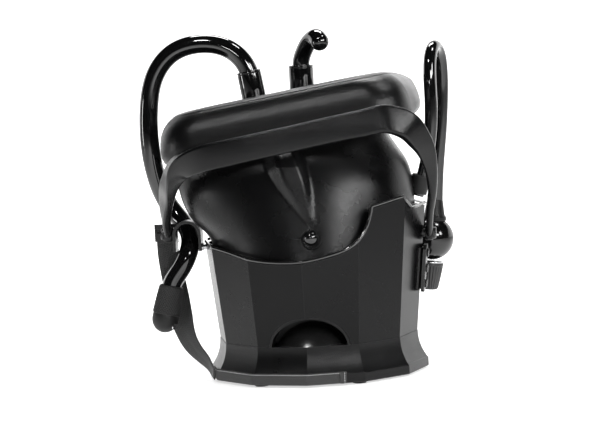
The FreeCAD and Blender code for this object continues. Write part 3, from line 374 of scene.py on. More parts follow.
def addTube(name, route, radius, material, bodyName, replaced=(), ring=36, domeEnd=False):
    # radius is a length, or a function of the share of the route
    dirs, sides = routeFrames(route)
    verts = []
    domeSteps = 8

    def ringAt(centre, d, side, r):
        up = d.cross(side)
        for k in range(ring):
            turn = 2 * math.pi * k / ring
            verts.append(centre + (side * math.cos(turn) + up * math.sin(turn)) * r)

    def radiusAt(i):
        return radius(i / (len(route) - 1)) if callable(radius) else radius

    for i, p in enumerate(route):
        ringAt(p, dirs[i], sides[i], radiusAt(i))
    if domeEnd:
        last = radiusAt(len(route) - 1)
        for k in range(1, domeSteps + 1):
            turn = math.radians(88 * k / domeSteps)
            ringAt(route[-1] + dirs[-1] * last * math.sin(turn), dirs[-1], sides[-1], last * math.cos(turn))
    faces = cappedFaces(len(verts) // ring, ring)
    obj = addMesh(name, verts, faces, material, bodyName, replaced)
    creaseBy(obj, 60)
    return obj


def addLathe(name, profile, place, material, bodyName, replaced=(), steps=72, shape=None, sharp=40):
    # profile is (radius, height) in millimetres; shape may change the radius round the turn
    verts = []
    for r, h in profile:
        for k in range(steps):
            turn = 2 * math.pi * k / steps
            rr = shape(r, h, turn) if shape else r
            verts.append(place @ pt(rr * math.cos(turn), rr * math.sin(turn), h))
    faces = gridFaces(len(profile), steps)
    if profile[0][0] > 0.01:
        faces.append(tuple(range(steps)))
    if profile[-1][0] > 0.01:
        n = len(verts)
        faces.append(tuple(range(n - steps, n)))
    obj = addMesh(name, verts, faces, material, bodyName, replaced)
    creaseBy(obj, sharp)
    return obj


def roundedProfile(points, radius, steps=4):
    # softens the corners of an outline of (radius, height) points
    out = []
    n = len(points)
    for i in range(n):
        p = Vector(points[i])
        if i == 0 or i == n - 1:
            out.append(tuple(p))
            continue
        a = Vector(points[i - 1]) - p
        b = Vector(points[i + 1]) - p
        reach = min(radius, a.length * 0.45, b.length * 0.45)
        first = p + a.normalized() * reach
        last = p + b.normalized() * reach
        for k in range(steps + 1):
            u = k / steps
            out.append(tuple(first * (1 - u) ** 2 + p * 2 * u * (1 - u) + last * u * u))
    return out


def pointing(origin, direction):
    # local Z along the direction
    turn = Vector(direction).normalized().to_track_quat("Z", "Y").to_matrix().to_4x4()
    return Matrix.Translation(origin) @ turn


lean = math.radians(9)
headTurn = Matrix.Translation(pt(-11.5, 0, 156)) @ Matrix.Rotation(-lean, 4, "Y")
inHead = headTurn.inverted()

# base: concave twelve sided flare on an upright lip
footFacts = {"radius": 100, "lipLow": 2, "lipTop": 11, "top": 35.05, "wallRadius": 91.4, "edge": 1.0,
             "lipThick": 5, "wallThick": 8, "bow": 2.2}


def gonPoint(radius, turn, softness=0.0):
    # point on a twelve sided outline with corners at multiples of 30 degrees
    sector = math.radians(30)
    local = (turn % sector) - sector / 2
    flat = radius * math.cos(sector / 2) / math.cos(local)
    return flat * (1 - softness) + radius * softness


def gonTurns(perSide):
    # even turns, with one on every corner
    return [math.radians(30 * (side + k / perSide)) for side in range(12) for k in range(perSide)]


def makeFoot():
    f = footFacts
    radius, low, lip, top = f["radius"], f["lipLow"], f["lipTop"], f["top"]
    profile = [(radius - f["lipThick"], low), (radius - 0.8, low), (radius, low + 0.8), (radius, lip - 1.0),
               (radius - 0.3, lip - 0.35), (radius - f["edge"], lip)]
    steps = 14
    for k in range(1, steps + 1):
        u = k / steps
        reach = (radius - f["edge"] - f["wallRadius"]) * (1 - (1 - u) ** f["bow"])
        profile.append((radius - f["edge"] - reach, lip + (top - lip) * u))
    profile.append((f["wallRadius"] - f["wallThick"], top))
    turns = gonTurns(6)
    verts = []
    for r, z in profile:
        for turn in turns:
            rr = gonPoint(r, turn, 0.03)
            verts.append(pt(rr * math.cos(turn), rr * math.sin(turn), z))
    faces = gridFaces(len(profile), len(turns))
    n = len(turns)
    inner = []
    for r, z in ((radius - f["lipThick"], low + 0.5), (f["wallRadius"] - f["wallThick"], top - 3)):
        for turn in turns:
            rr = gonPoint(r, turn)
            inner.append(pt(rr * math.cos(turn), rr * math.sin(turn), z))
    start = len(verts)
    verts += inner
    faces += [(start + a, start + b, start + c, start + d) for a, b, c, d in gridFaces(2, n)]
    last = (len(profile) - 1) * n
    for k in range(n):
        kk = (k + 1) % n
        faces.append((k, kk, start + kk, start + k))
        faces.append((last + k, last + kk, start + n + kk, start + n + k))
    obj = addMesh("footFlare", verts, faces, grainSkin, "base", ("foot_shell",))
    creaseBy(obj, 13)
    return obj


makeFoot()

# hood: smooth skin from the leaning head down into the vessel, with a tapering nose in front
hoodFacts = {"rows": 110, "cols": 520, "noseHigh": 12.0, "noseTop": (-12.0, 203), "noseTip": (6.5, 142),
             "noseHalf": 7.5, "noseFlank": 14.0, "noseEdge": 8.0, "crowd": 0.21}


def naturalSpline(stops, values):
    # natural cubic through the values, returned as a function of the stop position
    n = len(stops)
    a = np.zeros((n, n))
    b = np.zeros(n)
    a[0, 0] = a[-1, -1] = 1
    for i in range(1, n - 1):
        h0 = stops[i] - stops[i - 1]
        h1 = stops[i + 1] - stops[i]
        a[i, i - 1], a[i, i], a[i, i + 1] = h0, 2 * (h0 + h1), h1
        b[i] = 6 * ((values[i + 1] - values[i]) / h1 - (values[i] - values[i - 1]) / h0)
    bend = np.linalg.solve(a, b)

    def read(s):
        i = min(max(int(np.searchsorted(stops, s, side="right")) - 1, 0), n - 2)
        h = stops[i + 1] - stops[i]
        u = (s - stops[i]) / h
        w = 1 - u
        return (w * values[i] + u * values[i + 1]
                + h * h / 6 * ((w ** 3 - w) * bend[i] + (u ** 3 - u) * bend[i + 1]))
    return read


def easyCurve(stops, values):
    # follows straight runs without swinging past them
    n = len(stops)
    rates = [(values[i + 1] - values[i]) / (stops[i + 1] - stops[i]) for i in range(n - 1)]
    slopes = [rates[0]]
    for i in range(1, n - 1):
        before, after = stops[i] - stops[i - 1], stops[i + 1] - stops[i]
        slopes.append((rates[i - 1] * after + rates[i] * before) / (before + after))
    slopes.append(rates[-1])

    def read(s):
        i = min(max(int(np.searchsorted(stops, s, side="right")) - 1, 0), n - 2)
        h = stops[i + 1] - stops[i]
        u = (s - stops[i]) / h
        return ((2 * u ** 3 - 3 * u ** 2 + 1) * values[i] + (u ** 3 - 2 * u ** 2 + u) * h * slopes[i]
                + (3 * u ** 2 - 2 * u ** 3) * values[i + 1] + (u ** 3 - u ** 2) * h * slopes[i + 1])
    return read


def inHeadPlace(x, y, z):
    p = headTurn @ pt(x, y, z) / mm
    return (p.x, p.y, p.z)


# centre, half width, half depth and tilt of each section, from inside the vessel up to the head
hoodSections = [((0, 0, 104), 90.6, 90.6, 0), ((-0.5, 1.5, 126), 93.2, 88.2, 0),
                (inHeadPlace(3, 3, 5), 102.5, 82, 9),
                (inHeadPlace(-3, 1.5, 30), 102.5, 73.5, 9), (inHeadPlace(-7.5, 0, 55.4), 96.5, 62, 9)]
hoodStops = [0, 0.2, 0.48, 0.73, 1]
hoodCurves = [naturalSpline(hoodStops, [(*c, w, d, t)[k] for c, w, d, t in hoodSections]) for k in range(6)]


def hoodSection(t):
    return [curve(t) for curve in hoodCurves]


def hoodPoint(t, turn):
    cx, cy, cz, wide, deep, tilt = hoodSection(t)
    power = 2.0 + 0.25 * t
    ca, sa = math.cos(turn), math.sin(turn)
    x = wide * math.copysign(abs(ca) ** (2 / power), ca)
    y = deep * math.copysign(abs(sa) ** (2 / power), sa)
    tilt = math.radians(tilt)
    px = cx + x * math.cos(tilt)
    pz = cz + x * math.sin(tilt)
    py = cy + y
    if sa < 0:
        py -= noseRise(px, pz)
    return pt(px, py, pz)


def softClamp(v):
    v = min(max(v, 0.0), 1.0)
    return v * v * (3 - 2 * v)


def noseRise(x, z):
    # a flat front plane with a long left flank and a steep right one, tapering down to a point
    f = hoodFacts
    u = (z - f["noseTip"][1]) / (f["noseTop"][1] - f["noseTip"][1])
    if u <= 0:
        return 0.0
    centre = f["noseTip"][0] + (f["noseTop"][0] - f["noseTip"][0]) * u
    half = 0.8 + (f["noseHalf"] - 0.8) * softClamp(u * 1.35)
    flank = 1.0 + f["noseFlank"] * min(1.0, u * 1.25)
    high = f["noseHigh"] * min(1.0, u * 1.15) ** 1.1
    s = x - centre
    left = min(max((s + half + flank) / flank, 0), 1)
    right = min(max((half + f["noseEdge"] - s) / f["noseEdge"], 0), 1)
    left = 0.8 * left + 0.2 * softClamp(left)
    return high * left * softClamp(right)


def makeHood():
    f = hoodFacts
    verts = []
    for r in range(f["rows"]):
        t = r / (f["rows"] - 1)
        for c in range(f["cols"]):
            # crowd the columns toward the front where the nose is
            u = c / f["cols"]
            turn = 2 * math.pi * u
            turn += f["crowd"] * math.sin(2 * (turn + math.pi / 2))
            verts.append(hoodPoint(t, turn))
    faces = cappedFaces(f["rows"], f["cols"])
    obj = addMesh("hoodSkin", verts, faces, softGrain, "base", ("hood_shell",))
    creaseBy(obj, 50)
    return obj


makeHood()
print("base and hood made")

# leaning head: pillowed body with a thin lid, sections in the head's own frame
headFacts = {"midX": 8.3, "corner": 34, "fall": 8.5, "fallFrom": 88, "fallOver": 18, "halfDeep": 72}
# height in the head's frame, half width and half depth of each section
bodySections = [(56, 101, 66), (56.5, 107, 72), (58.5, 111, 76), (62, 114, 79.6), (67, 115.2, 81.4),
                (73, 115, 82), (80, 114, 81.2), (87, 112, 79.2), (93, 109, 76.2), (97.5, 105.6, 72.8),
                (100.2, 102.6, 70), (101.8, 100.4, 67.8), (101.8, 99, 66)]
lidSections = [(102, 99, 66), (102, 100.2, 67.6), (102.6, 99.6, 67), (103.6, 98, 65.4), (104.6, 95.4, 63),
               (105.4, 91.6, 59.4), (105.8, 86, 54), (106, 76, 46), (106, 50, 34), (106, 20, 14)]


def roundedRect(wide, deep, corner, count):
    # outline of a rounded rectangle, evenly stepped, starting on +X
    corner = min(corner, wide * 0.98, deep * 0.98)
    arc = math.pi / 2 * corner
    straightX = 2 * (wide - corner)
    straightY = 2 * (deep - corner)
    total = 4 * arc + 2 * straightX + 2 * straightY
    out = []
    for k in range(count):
        s = total * k / count
        s = (s + straightY / 2) % total
        for kind, length, index in (("line", straightY, 0), ("arc", arc, 0), ("line", straightX, 1),
                                    ("arc", arc, 1), ("line", straightY, 2), ("arc", arc, 2),
                                    ("line", straightX, 3), ("arc", arc, 3)):
            if s <= length:
                break
            s -= length
        corners = [(wide - corner, deep - corner), (-(wide - corner), deep - corner),
                   (-(wide - corner), -(deep - corner)), (wide - corner, -(deep - corner))]
        if kind == "arc":
            cx, cy = corners[index]
            turn = index * math.pi / 2 + s / corner
            out.append((cx + corner * math.cos(turn), cy + corner * math.sin(turn)))
        elif index == 0:
            out.append((wide, -(deep - corner) + s))
        elif index == 1:
            out.append(((wide - corner) - s, deep))
        elif index == 2:
            out.append((-wide, (deep - corner) - s))
        else:
            out.append((-(wide - corner) + s, -deep))
    return out


def makeHeadPart(name, sections, replaced, material, count=180):
    # the top falls a little toward the back
    f = headFacts
    verts = []
    fine = []
    for i in range(len(sections) - 1):
        for k in range(3):
            u = k / 3
            fine.append([sections[i][j] * (1 - u) + sections[i + 1][j] * u for j in range(3)])
    fine.append(list(sections[-1]))
    for z, wide, deep in fine:
        for x, y in roundedRect(wide, deep, f["corner"], count):
            share = (y + f["halfDeep"]) / (2 * f["halfDeep"])
            fall = f["fall"] * share * max(0, (z - f["fallFrom"]) / f["fallOver"])
            verts.append(headTurn @ pt(x + f["midX"], y, z - fall))
    faces = cappedFaces(len(fine), count)
    obj = addMesh(name, verts, faces, material, "base", replaced)
    soften = obj.modifiers.new("soften", "SMOOTH")
    soften.iterations = 2
    soften.factor = 0.5
    creaseBy(obj, 50)
    return obj


makeHeadPart("headPillow", bodySections, ("head_tray", "head_seal"), slabSkin)
makeHeadPart("headLid", lidSections, ("head_cover",), slabSkin)
print("head made")

# bail: a bent frame, tall across the front and slim down both arms, on two pivots
bailFacts = {"leftPin": (-134, 0, 132), "rightPin": (106.2, 0, 124), "round": 2.6,
             "pinHole": 3.58, "bossRadius": 7, "leftBoss": 8, "rightBoss": 7}
# centre, width seen from the front, depth, direction of the depth
bailRun = [(bailFacts["leftPin"], 7.5, 13, (0, 0.6, 0.78)),
           ((-133.2, -15, 146.5), 7.7, 14, (-0.2, 0.55, 0.7)),
           ((-127.8, -37, 166.7), 8.8, 15, (-0.55, 0.5, 0.62)),
           ((-118.2, -64, 184.5), 14.5, 14, (-0.5, 0.65, 0.5)),
           ((-104.6, -84, 199), 22, 12, (-0.3, 0.9, 0.25)),
           ((-86, -96, 206.6), 23.5, 10.5, (-0.08, 1, 0.08)),
           ((-60, -101, 211.6), 23.5, 10, (0, 1, 0.02)),
           ((-3.7, -102, 221.5), 23, 10, (0, 1, 0)),
           ((58, -102, 232), 23.5, 10, (-0.06, 1, -0.08)),
           ((84, -102, 235), 24.5, 10, (-0.24, 0.95, -0.2)),
           ((98.5, -98, 229), 24, 11, (-0.36, 0.88, -0.26)),
           ((109, -86, 214), 19.5, 12, (-0.42, 0.86, -0.02)),
           ((115, -66, 192.3), 12.5, 14, (-0.15, 0.78, 0.5)),
           ((114.7, -45, 169.2), 8.2, 15, (0, 0.7, 0.7)),
           ((109.8, -23, 147.5), 6.8, 14, (0, 0.7, 0.7)),
           (bailFacts["rightPin"], 6, 13, (0, 0.7, 0.7))]


def bandOutline(wide, deep, radius, steps=5):
    # rounded rectangle, corners softened more on the front
    out = []
    for cx, cy, start, r in ((1, 1, 0, 0.6), (-1, 1, 90, 0.6), (-1, -1, 180, 1.0), (1, -1, 270, 1.0)):
        rr = min(radius * r, wide * 0.42, deep * 0.42)
        for k in range(steps + 1):
            turn = math.radians(start + 90 * k / steps)
            out.append((cx * (wide / 2 - rr) + rr * math.cos(turn),
                        cy * (deep / 2 - rr) + rr * math.sin(turn)))
    return out


def makeBail():
    f = bailFacts
    marks = [0.0]
    for a, b in zip(bailRun, bailRun[1:]):
        marks.append(marks[-1] + (Vector(b[0]) - Vector(a[0])).length)
    rows = [list(c) + [w, d] + list(Vector(way).normalized()) for c, w, d, way in bailRun]
    curves = [easyCurve(marks, [row[k] for row in rows]) for k in range(8)]
    count = 190
    spots = [[curve(marks[-1] * i / (count - 1)) for curve in curves] for i in range(count)]
    verts = []
    for i, spot in enumerate(spots):
        a = Vector(spots[max(i - 1, 0)][:3])
        b = Vector(spots[min(i + 1, count - 1)][:3])
        run = (b - a).normalized()
        depth = Vector(spot[5:8])
        depth = (depth - run * depth.dot(run)).normalized()
        side = run.cross(depth).normalized()
        outline = bandOutline(spot[3], spot[4], f["round"])
        for w, d in outline:
            verts.append((Vector(spot[:3]) + side * w + depth * d) * mm)
    faces = cappedFaces(count, len(outline))
    band = addMesh("bailBand", verts, faces, bailSkin, "bail", ("bail",))
    creaseBy(band, 60)
    axis = (Vector(f["rightPin"]) - Vector(f["leftPin"])).normalized()
    for side, pin, thick in (("Left", f["leftPin"], f["leftBoss"]), ("Right", f["rightPin"], f["rightBoss"])):
        place = pointing(Vector(pin) * mm, axis) @ Matrix.Translation(pt(0, 0, -thick / 2))
        hole, outer = f["pinHole"], f["bossRadius"]
        profile = roundedProfile([(hole, 0), (outer, 0), (outer, thick), (hole, thick)], 1.0)
        addLathe("bailBoss" + side, profile + [profile[0]], place, grainSkin, "bail")


makeBail()
print("bail made")

# pipes, rigid bent tube
pipeFacts = {"thick": 8.75, "thin": 5.9, "hook": 8.0, "lip": 0.5, "lipFrom": 0.82}
headX = inHead @ pt(-54.2, 20, 275.8)
slabTop = 106


def headPoint(z):
    return headTurn @ Vector((headX.x, 20 * mm, z * mm))


gripTop = pt(-133, -4.4, 85)
gripWay = Vector((-0.2295, -0.094, -0.9695)).normalized()
leftPoints = [headPoint(94), headPoint(104.67), headPoint(115.33), headPoint(126)]
leftPoints += [pt(*p) for p in [(-71, 20, 298), (-98, 20, 304.5), (-124, 20, 297.6), (-141, 20, 279),
                                (-149, 20, 250), (-147.5, 22, 190), (-137, 30, 156), (-118, 16, 132),
                                (-116, -1, 115), (-124, -4, 99)]]
leftPoints += [gripTop + gripWay * k * 8 * mm for k in range(4)]
addTube("leftPipe", smoothRoute(leftPoints, 220), pipeFacts["thick"] * mm, glossBlack, "base",
        ("left_pipe",))

rightPoints = [pt(*p) for p in [
    (108.7, 66, 138), (109.4, 66, 152), (111.8, 66, 180), (115.5, 66, 210), (118.6, 66, 243),
    (119.6, 64, 268), (118.6, 56, 285), (115.9, 41, 291.5), (113.2, 26, 285), (112, 18, 268),
    (112.2, 16, 246), (110, 16, 213), (105.6, 16, 189), (101, 16, 173), (95.6, 16, 157)]]
addTube("rightPipe", smoothRoute(rightPoints, 180), pipeFacts["thin"] * mm, glossBlack, "base",
        ("right_pipe",), 30)

spoutSeat = pt(-8.5, 40, 264)
hookPoints = [(0, 0, -26), (0, 0, -16), (0, 0, -6), (0, 0, 4), (0, 0, 14), (1, -0.5, 21), (5, -4.5, 30),
              (11.5, -11, 38.5), (18, -18, 41), (21.5, -24, 37.5)]
hookRoute = smoothRoute([spoutSeat + pt(*p) for p in hookPoints], 70)


def hookRadius(u):
    # swells a little at the mouth
    over = max(0.0, u - pipeFacts["lipFrom"]) / (1 - pipeFacts["lipFrom"])
    return (pipeFacts["hook"] + pipeFacts["lip"] * math.sin(over * math.pi / 2)) * mm


addTube("hookSpout", hookRoute, hookRadius, glossBlack, "spout", ("hook_spout",), domeEnd=True)


def makeCollar(name, radius, tall, low, place, node, bore):
    # a plain sleeve with one shallow groove below its top
    groove = radius - 0.35
    profile = roundedProfile([(bore, low), (radius, low), (radius, tall - 2.6), (groove, tall - 2.5),
                              (groove, tall - 2.1), (radius, tall - 2.0), (radius, tall),
                              (bore + 0.6, tall), (bore, tall - 0.6)], 0.7, 4)
    addLathe(name, profile + [profile[0]], place, glossBlack, "base", (node,))


collarPlace = headTurn @ Matrix.Translation(Vector((headX.x, 20 * mm, (slabTop - 0.6) * mm)))
makeCollar("leftCollar", 11.2, 21.5, -8, collarPlace, "left_collar", pipeFacts["thick"] + 0.2)
makeCollar("spoutCollar", 11.5, 16, -11, Matrix.Translation(spoutSeat), "spout_collar", 8.35)
print("pipes made")

# knurled grip and its rounded end
gripFacts = {"radius": 12.5, "long": 27, "tip": 17, "taper": 1.7, "around": 30, "climb": 1.15,
             "depth": 0.5}
gripPlace = pointing(gripTop, gripWay)


def knurl(r, h, turn):
    f = gripFacts
    if h < 1.6 or h > f["long"] - 1.0:
        return r
    a = math.sin(f["around"] / 2 * turn + h * f["climb"])
    b = math.sin(f["around"] / 2 * turn - h * f["climb"])
    return r - f["depth"] + 2 * f["depth"] * abs(a * b) ** 0.55


def makeGrip():
    f = gripFacts
    r, long = f["radius"], f["long"]
    profile = [(9.2, 0.2), (r - 2.9, 0), (r - 2.2, 0.4), (r - 1.8, 1.2)]
    steps = 64
    for k in range(steps):
        profile.append((r - f["taper"] + f["taper"] * (k / steps) ** 0.7, 1.6 + (long - 2.6) * k / steps))
    profile += [(r - 0.1, long - 0.6), (r - 0.3, long), (r - 1.6, long)]
    addLathe("gripSleeve", profile, gripPlace, rubberBlack, "nozzle", ("nozzle_grip",), 176,
             knurl, 70)
    tip = [(0.2, long + 0.1), (r - 0.6, long + 0.1), (r - 0.3, long + 0.6), (r - 0.3, long + 4)]
    for k in range(1, 12):
        turn = math.radians(90 * k / 12)
        tip.append(((r - 0.3) * math.cos(turn), long + 4 + (f["tip"] - 4) * math.sin(turn)))
    tip.append((0.2, long + f["tip"]))
    addLathe("gripTip", tip, gripPlace, rubberBlack, "nozzle", ("nozzle_tip",), 72)


makeGrip()

# valve ball, chrome ring, fluted knob and boot, all on the knob's axis but the boot
valveFacts = {"ballRadius": 20, "flatAt": 19.2, "knobLow": 22.9, "knobLong": 25, "flutes": 24,
              "fluteDepth": 0.055}
ballAt = pt(103.5, 66, 112)
knobWay = Vector((-0.12, 0, -1)).normalized()
knobPlace = pointing(ballAt, knobWay)


def makeValve():
    v = valveFacts
    ball = [(0.2, -v["ballRadius"] + 0.05)]
    for k in range(1, 40):
        turn = math.radians(-90 + 180 * k / 40)
        height = v["ballRadius"] * math.sin(turn)
        if height <= v["flatAt"]:
            ball.append((v["ballRadius"] * math.cos(turn), height))
    ball += [(4.4, v["flatAt"] + 0.2), (0.2, v["flatAt"] + 0.2)]
    addLathe("valveBall", ball, knobPlace, polishedBlack, "base", ("valve_ball",), 96)
    ring = roundedProfile([(4.4, 20.3), (11.8, 20.3), (12.9, 20.9), (12.9, 21.8), (12.2, 22.4),
                           (4.4, 22.4)], 0.5)
    addLathe("valveRing", ring + [ring[0]], knobPlace, brightChrome, "base", ("valve_ring",))
    low, long = v["knobLow"], v["knobLong"]

    def flute(r, h, turn):
        if r < 6 or h < low + 2.4:
            return r
        return r * (1 - v["fluteDepth"] * (0.5 + 0.5 * math.cos(v["flutes"] * turn)) ** 1.5)

    knob = [(0.2, low), (11.6, low), (12, low + 0.5), (12, low + 2), (11.6, low + 2.6)]
    for k in range(1, 16):
        u = k / 16
        knob.append((11.8 - 3.1 * u ** 1.2, low + 2.6 + (long - 4.2) * u))
    knob += [(8.2, low + long - 1.0), (6.8, low + long - 0.1), (0.2, low + long)]
    addLathe("flutedKnob", knob, knobPlace, knobPlastic, "knob", ("fluted_knob",), 240, flute)
    boot = roundedProfile([(5.4, -2.2), (11.2, -3.0), (11.2, 0.6), (9.6, 2.2), (7.6, 15.5), (7.0, 17),
                           (5.4, 17)], 0.9)
    bootPlace = pointing(pt(106.2, 66, 131.5), (0.08, 0, 1))
    addLathe("pipeBoot", boot + [boot[0]], bootPlace, satinDark, "base", ("pipe_boot",))


makeValve()

# push stud and its ring
studFacts = {"radius": 6.9, "lift": 4.2, "tilt": 18, "ringIn": 8.0, "ringOut": 9.6}
studAt = pt(8.8, -87.4, 131)
studTilt = math.radians(studFacts["tilt"])
studWay = Vector((0, -math.cos(studTilt), math.sin(studTilt)))
studPlace = pointing(studAt, studWay)


def makeStud():
    f = studFacts
    profile = [(0.2, -1), (5.2, -1)]
    for k in range(18):
        turn = math.radians(-10 + 100 * k / 18)
        profile.append((f["radius"] * math.cos(turn), f["lift"] + f["radius"] * math.sin(turn)))
    profile.append((0.15, f["lift"] + f["radius"]))
    addLathe("pushStud", profile, studPlace, glossBlack, "stud", ("push_stud",), 72)
    inner, outer = f["ringIn"], f["ringOut"]
    ring = roundedProfile([(inner, -6), (outer, -6), (outer, -0.6), (8.9, 0.2), (inner, 0)], 0.4)
    addLathe("studRing", ring + [ring[0]], studPlace, softGrain, "base", ("stud_bezel",), 72)


makeStud()

# outlet dome: the front of a ball, cut flat at the back and below
domeFacts = {"centre": (2, -60, 17), "radius": 37, "cut": 18.2}


def makeDome():
    f = domeFacts
    centre = pt(*f["centre"])
    low = math.asin(f["cut"] / f["radius"])
    verts = []
    rows, cols = 24, 64
    for r in range(rows):
        up = low + (math.radians(89.5) - low) * r / (rows - 1)
        for c in range(cols):
            turn = 2 * math.pi * c / cols
            way = Vector((math.cos(turn) * math.cos(up), math.sin(turn) * math.cos(up), math.sin(up)))
            p = centre + way * f["radius"] * mm
            p.y = min(p.y, centre.y)
            verts.append(p)
    faces = cappedFaces(rows, cols)
    obj = addMesh("outletDome", verts, faces, domeSatin, "base", ("outlet_dome",))
    creaseBy(obj, 60)


makeDome()


# bead along the rim, following the vessel's facets
wallFacts = {"radius": 91, "flare": 14 / 130, "foot": 35}


def wallRadius(z):
    return wallFacts["radius"] + wallFacts["flare"] * (z - wallFacts["foot"])


# the rim's line as (x, z) points: the scoop, the raised tab and the straight back
rimFacts = {"bead": 1.5, "inset": 0.9,
            "front": [(-98.1, 126.1), (-67.2, 120.6), (-44.8, 115.2), (-18.7, 112.6), (4.6, 113.6),
                      (25.8, 117.6), (45, 124.9), (53.9, 133.9), (59.7, 145.8), (62.8, 158)],
            "tab": [(62.8, 158), (89, 163.9), (94.1, 152.1), (103.6, 152.4)],
            "backFrom": -98.5, "backTo": 104.0, "backLow": (-98.1, 126.1), "backRise": 26.3 / 201.7}


def onWall(x, z, back=False):
    # the wall's outer face above this x at this height
    r = wallRadius(z)
    low, high = 0.0, math.pi
    for halving in range(40):
        mid = (low + high) / 2
        if gonPoint(r, mid) * math.cos(mid) > x:
            low = mid
        else:
            high = mid
    y = gonPoint(r, low) * math.sin(low)
    return pt(x, y if back else -y, z)


def makeRim():
    curve = smoothRoute([Vector((x, 0, z)) for x, z in rimFacts["front"]], 90)
    route = [onWall(p.x, p.z) for p in curve]
    bead = rimFacts["bead"] * mm
    inset = Vector((0, 0, -rimFacts["inset"] * mm))
    route = [p + inset for p in route]
    addTube("rimBeadFront", route, bead, beadGloss, "base", ("rim_bead",), 14)
    tab = rimFacts["tab"]
    route = []
    for (x0, z0), (x1, z1) in zip(tab, tab[1:]):
        for k in range(10):
            u = k / 10
            route.append(onWall(x0 + (x1 - x0) * u, z0 + (z1 - z0) * u) + inset)
    route.append(onWall(*tab[-1]) + inset)
    addTube("rimBeadTab", route, bead * 0.8, beadGloss, "base", (), 12)
    back = []
    lowX, lowZ = rimFacts["backLow"]
    for k in range(121):
        x = rimFacts["backFrom"] + (rimFacts["backTo"] - rimFacts["backFrom"]) * k / 120
        z = lowZ + (x - lowX) * rimFacts["backRise"]
        back.append(onWall(min(x, wallRadius(z) - 0.4), z, True) + inset)
    addTube("rimBeadBack", back, bead * 0.9, polishedBlack, "base", (), 12)


makeRim()
print("vessel trim made")

# strap: woven tape from the clip down and round the base lip
strapFacts = {"thick": 1.9, "steps": 90, "flatWide": 0.02, "weaveStep": 1.35}
bandFacts = {"height": 7.6, "wide": 10.4, "thick": 1.8, "out": 1.3, "from": 197.5, "to": 290.5,
             "seamFrom": 287, "seamOver": 3, "seamOut": 2.9}
# centre, direction across the tape and width of each key, from the clip down
strapRun = [((-139.6, 17.4, 135.5), (1, 0.02, 0), 17.2), ((-137.5, 19, 104), (0.98, 0.2, 0.03), 20),
            ((-133.5, 18, 80), (0.96, 0.25, 0.1), 21), ((-126.5, 8, 48), (0.93, 0.1, 0.36), 22),
            ((-118.5, -4, 31.5), (0.8, 0, 0.6), 22), ((-107.5, -17, 21), (0.55, -0.05, 0.84), 19),
            ((-98.2, -30, 14.2), (0.25, 0, 0.97), 14.5), ((-93.8, -40, 9.6), (0.08, 0, 1), 11.5),
            ((-90.6, -50, 8), (0, 0, 1), 10.8)]


def ribbonMesh(name, centres, sides, widths, thick, material, replaced):
    dirs = routeFrames(centres)[0]
    across = 10
    verts, uvs = [], []
    run = 0.0
    for i, p in enumerate(centres):
        if i:
            run += (centres[i] - centres[i - 1]).length
        side = (sides[i] - dirs[i] * sides[i].dot(dirs[i])).normalized()
        flat = dirs[i].cross(side).normalized()
        loop = []
        for k in range(across + 1):
            u = k / across
            edge = 1 - abs(2 * u - 1)
            loop.append((u, thick / 2 * min(1, 0.35 + edge * 5)))
        ring = loop + [(u, -t) for u, t in reversed(loop)]
        for u, t in ring:
            verts.append(p + side * ((u - 0.5) * widths[i]) + flat * t)
            uvs.append((u, run / mm / strapFacts["weaveStep"]))
    faces = cappedFaces(len(centres), 2 * (across + 1))
    obj = addMesh(name, verts, faces, material, "base", replaced, uvs=uvs)
    creaseBy(obj, 70)
    return obj


def stitchRow(name, points, normals, length, thick, gap, material):
    # small raised stitches laid end to end along a line
    verts, faces = [], []
    run = 0.0
    nextAt = 0.0
    for i in range(1, len(points)):
        step = points[i] - points[i - 1]
        while nextAt <= run + step.length and step.length > 0:
            u = (nextAt - run) / step.length
            c = points[i - 1] + step * u
            d = step.normalized()
            up = normals[i]
            side = d.cross(up).normalized()
            base = len(verts)
            for along, lift, wide in ((-0.5, 0.0, 0.25), (-0.3, 0.8, 0.5), (0.3, 0.8, 0.5), (0.5, 0.0, 0.25)):
                for w, share in ((-1, 0.45), (0, 1.0), (1, 0.45)):
                    raised = up * thick * lift * share
                    verts.append(c + d * along * length + raised + side * wide * thick * w)
            for r in range(3):
                for q in range(2):
                    a = base + r * 3 + q
                    faces.append((a, a + 1, a + 4, a + 3))
            nextAt += gap
        run += step.length
    return addMesh(name, verts, faces, material, "base")


def aroundLip(out, first, over, count):
    # places and outward ways along the base lip, between two turns in degrees
    places, ways = [], []
    for k in range(count):
        turn = math.radians(first) + math.radians(over) * k / (count - 1)
        r = gonPoint(footFacts["radius"] + out, turn)
        places.append(pt(r * math.cos(turn), r * math.sin(turn), bandFacts["height"]))
        ways.append(Vector((math.cos(turn), math.sin(turn), 0)))
    return places, ways


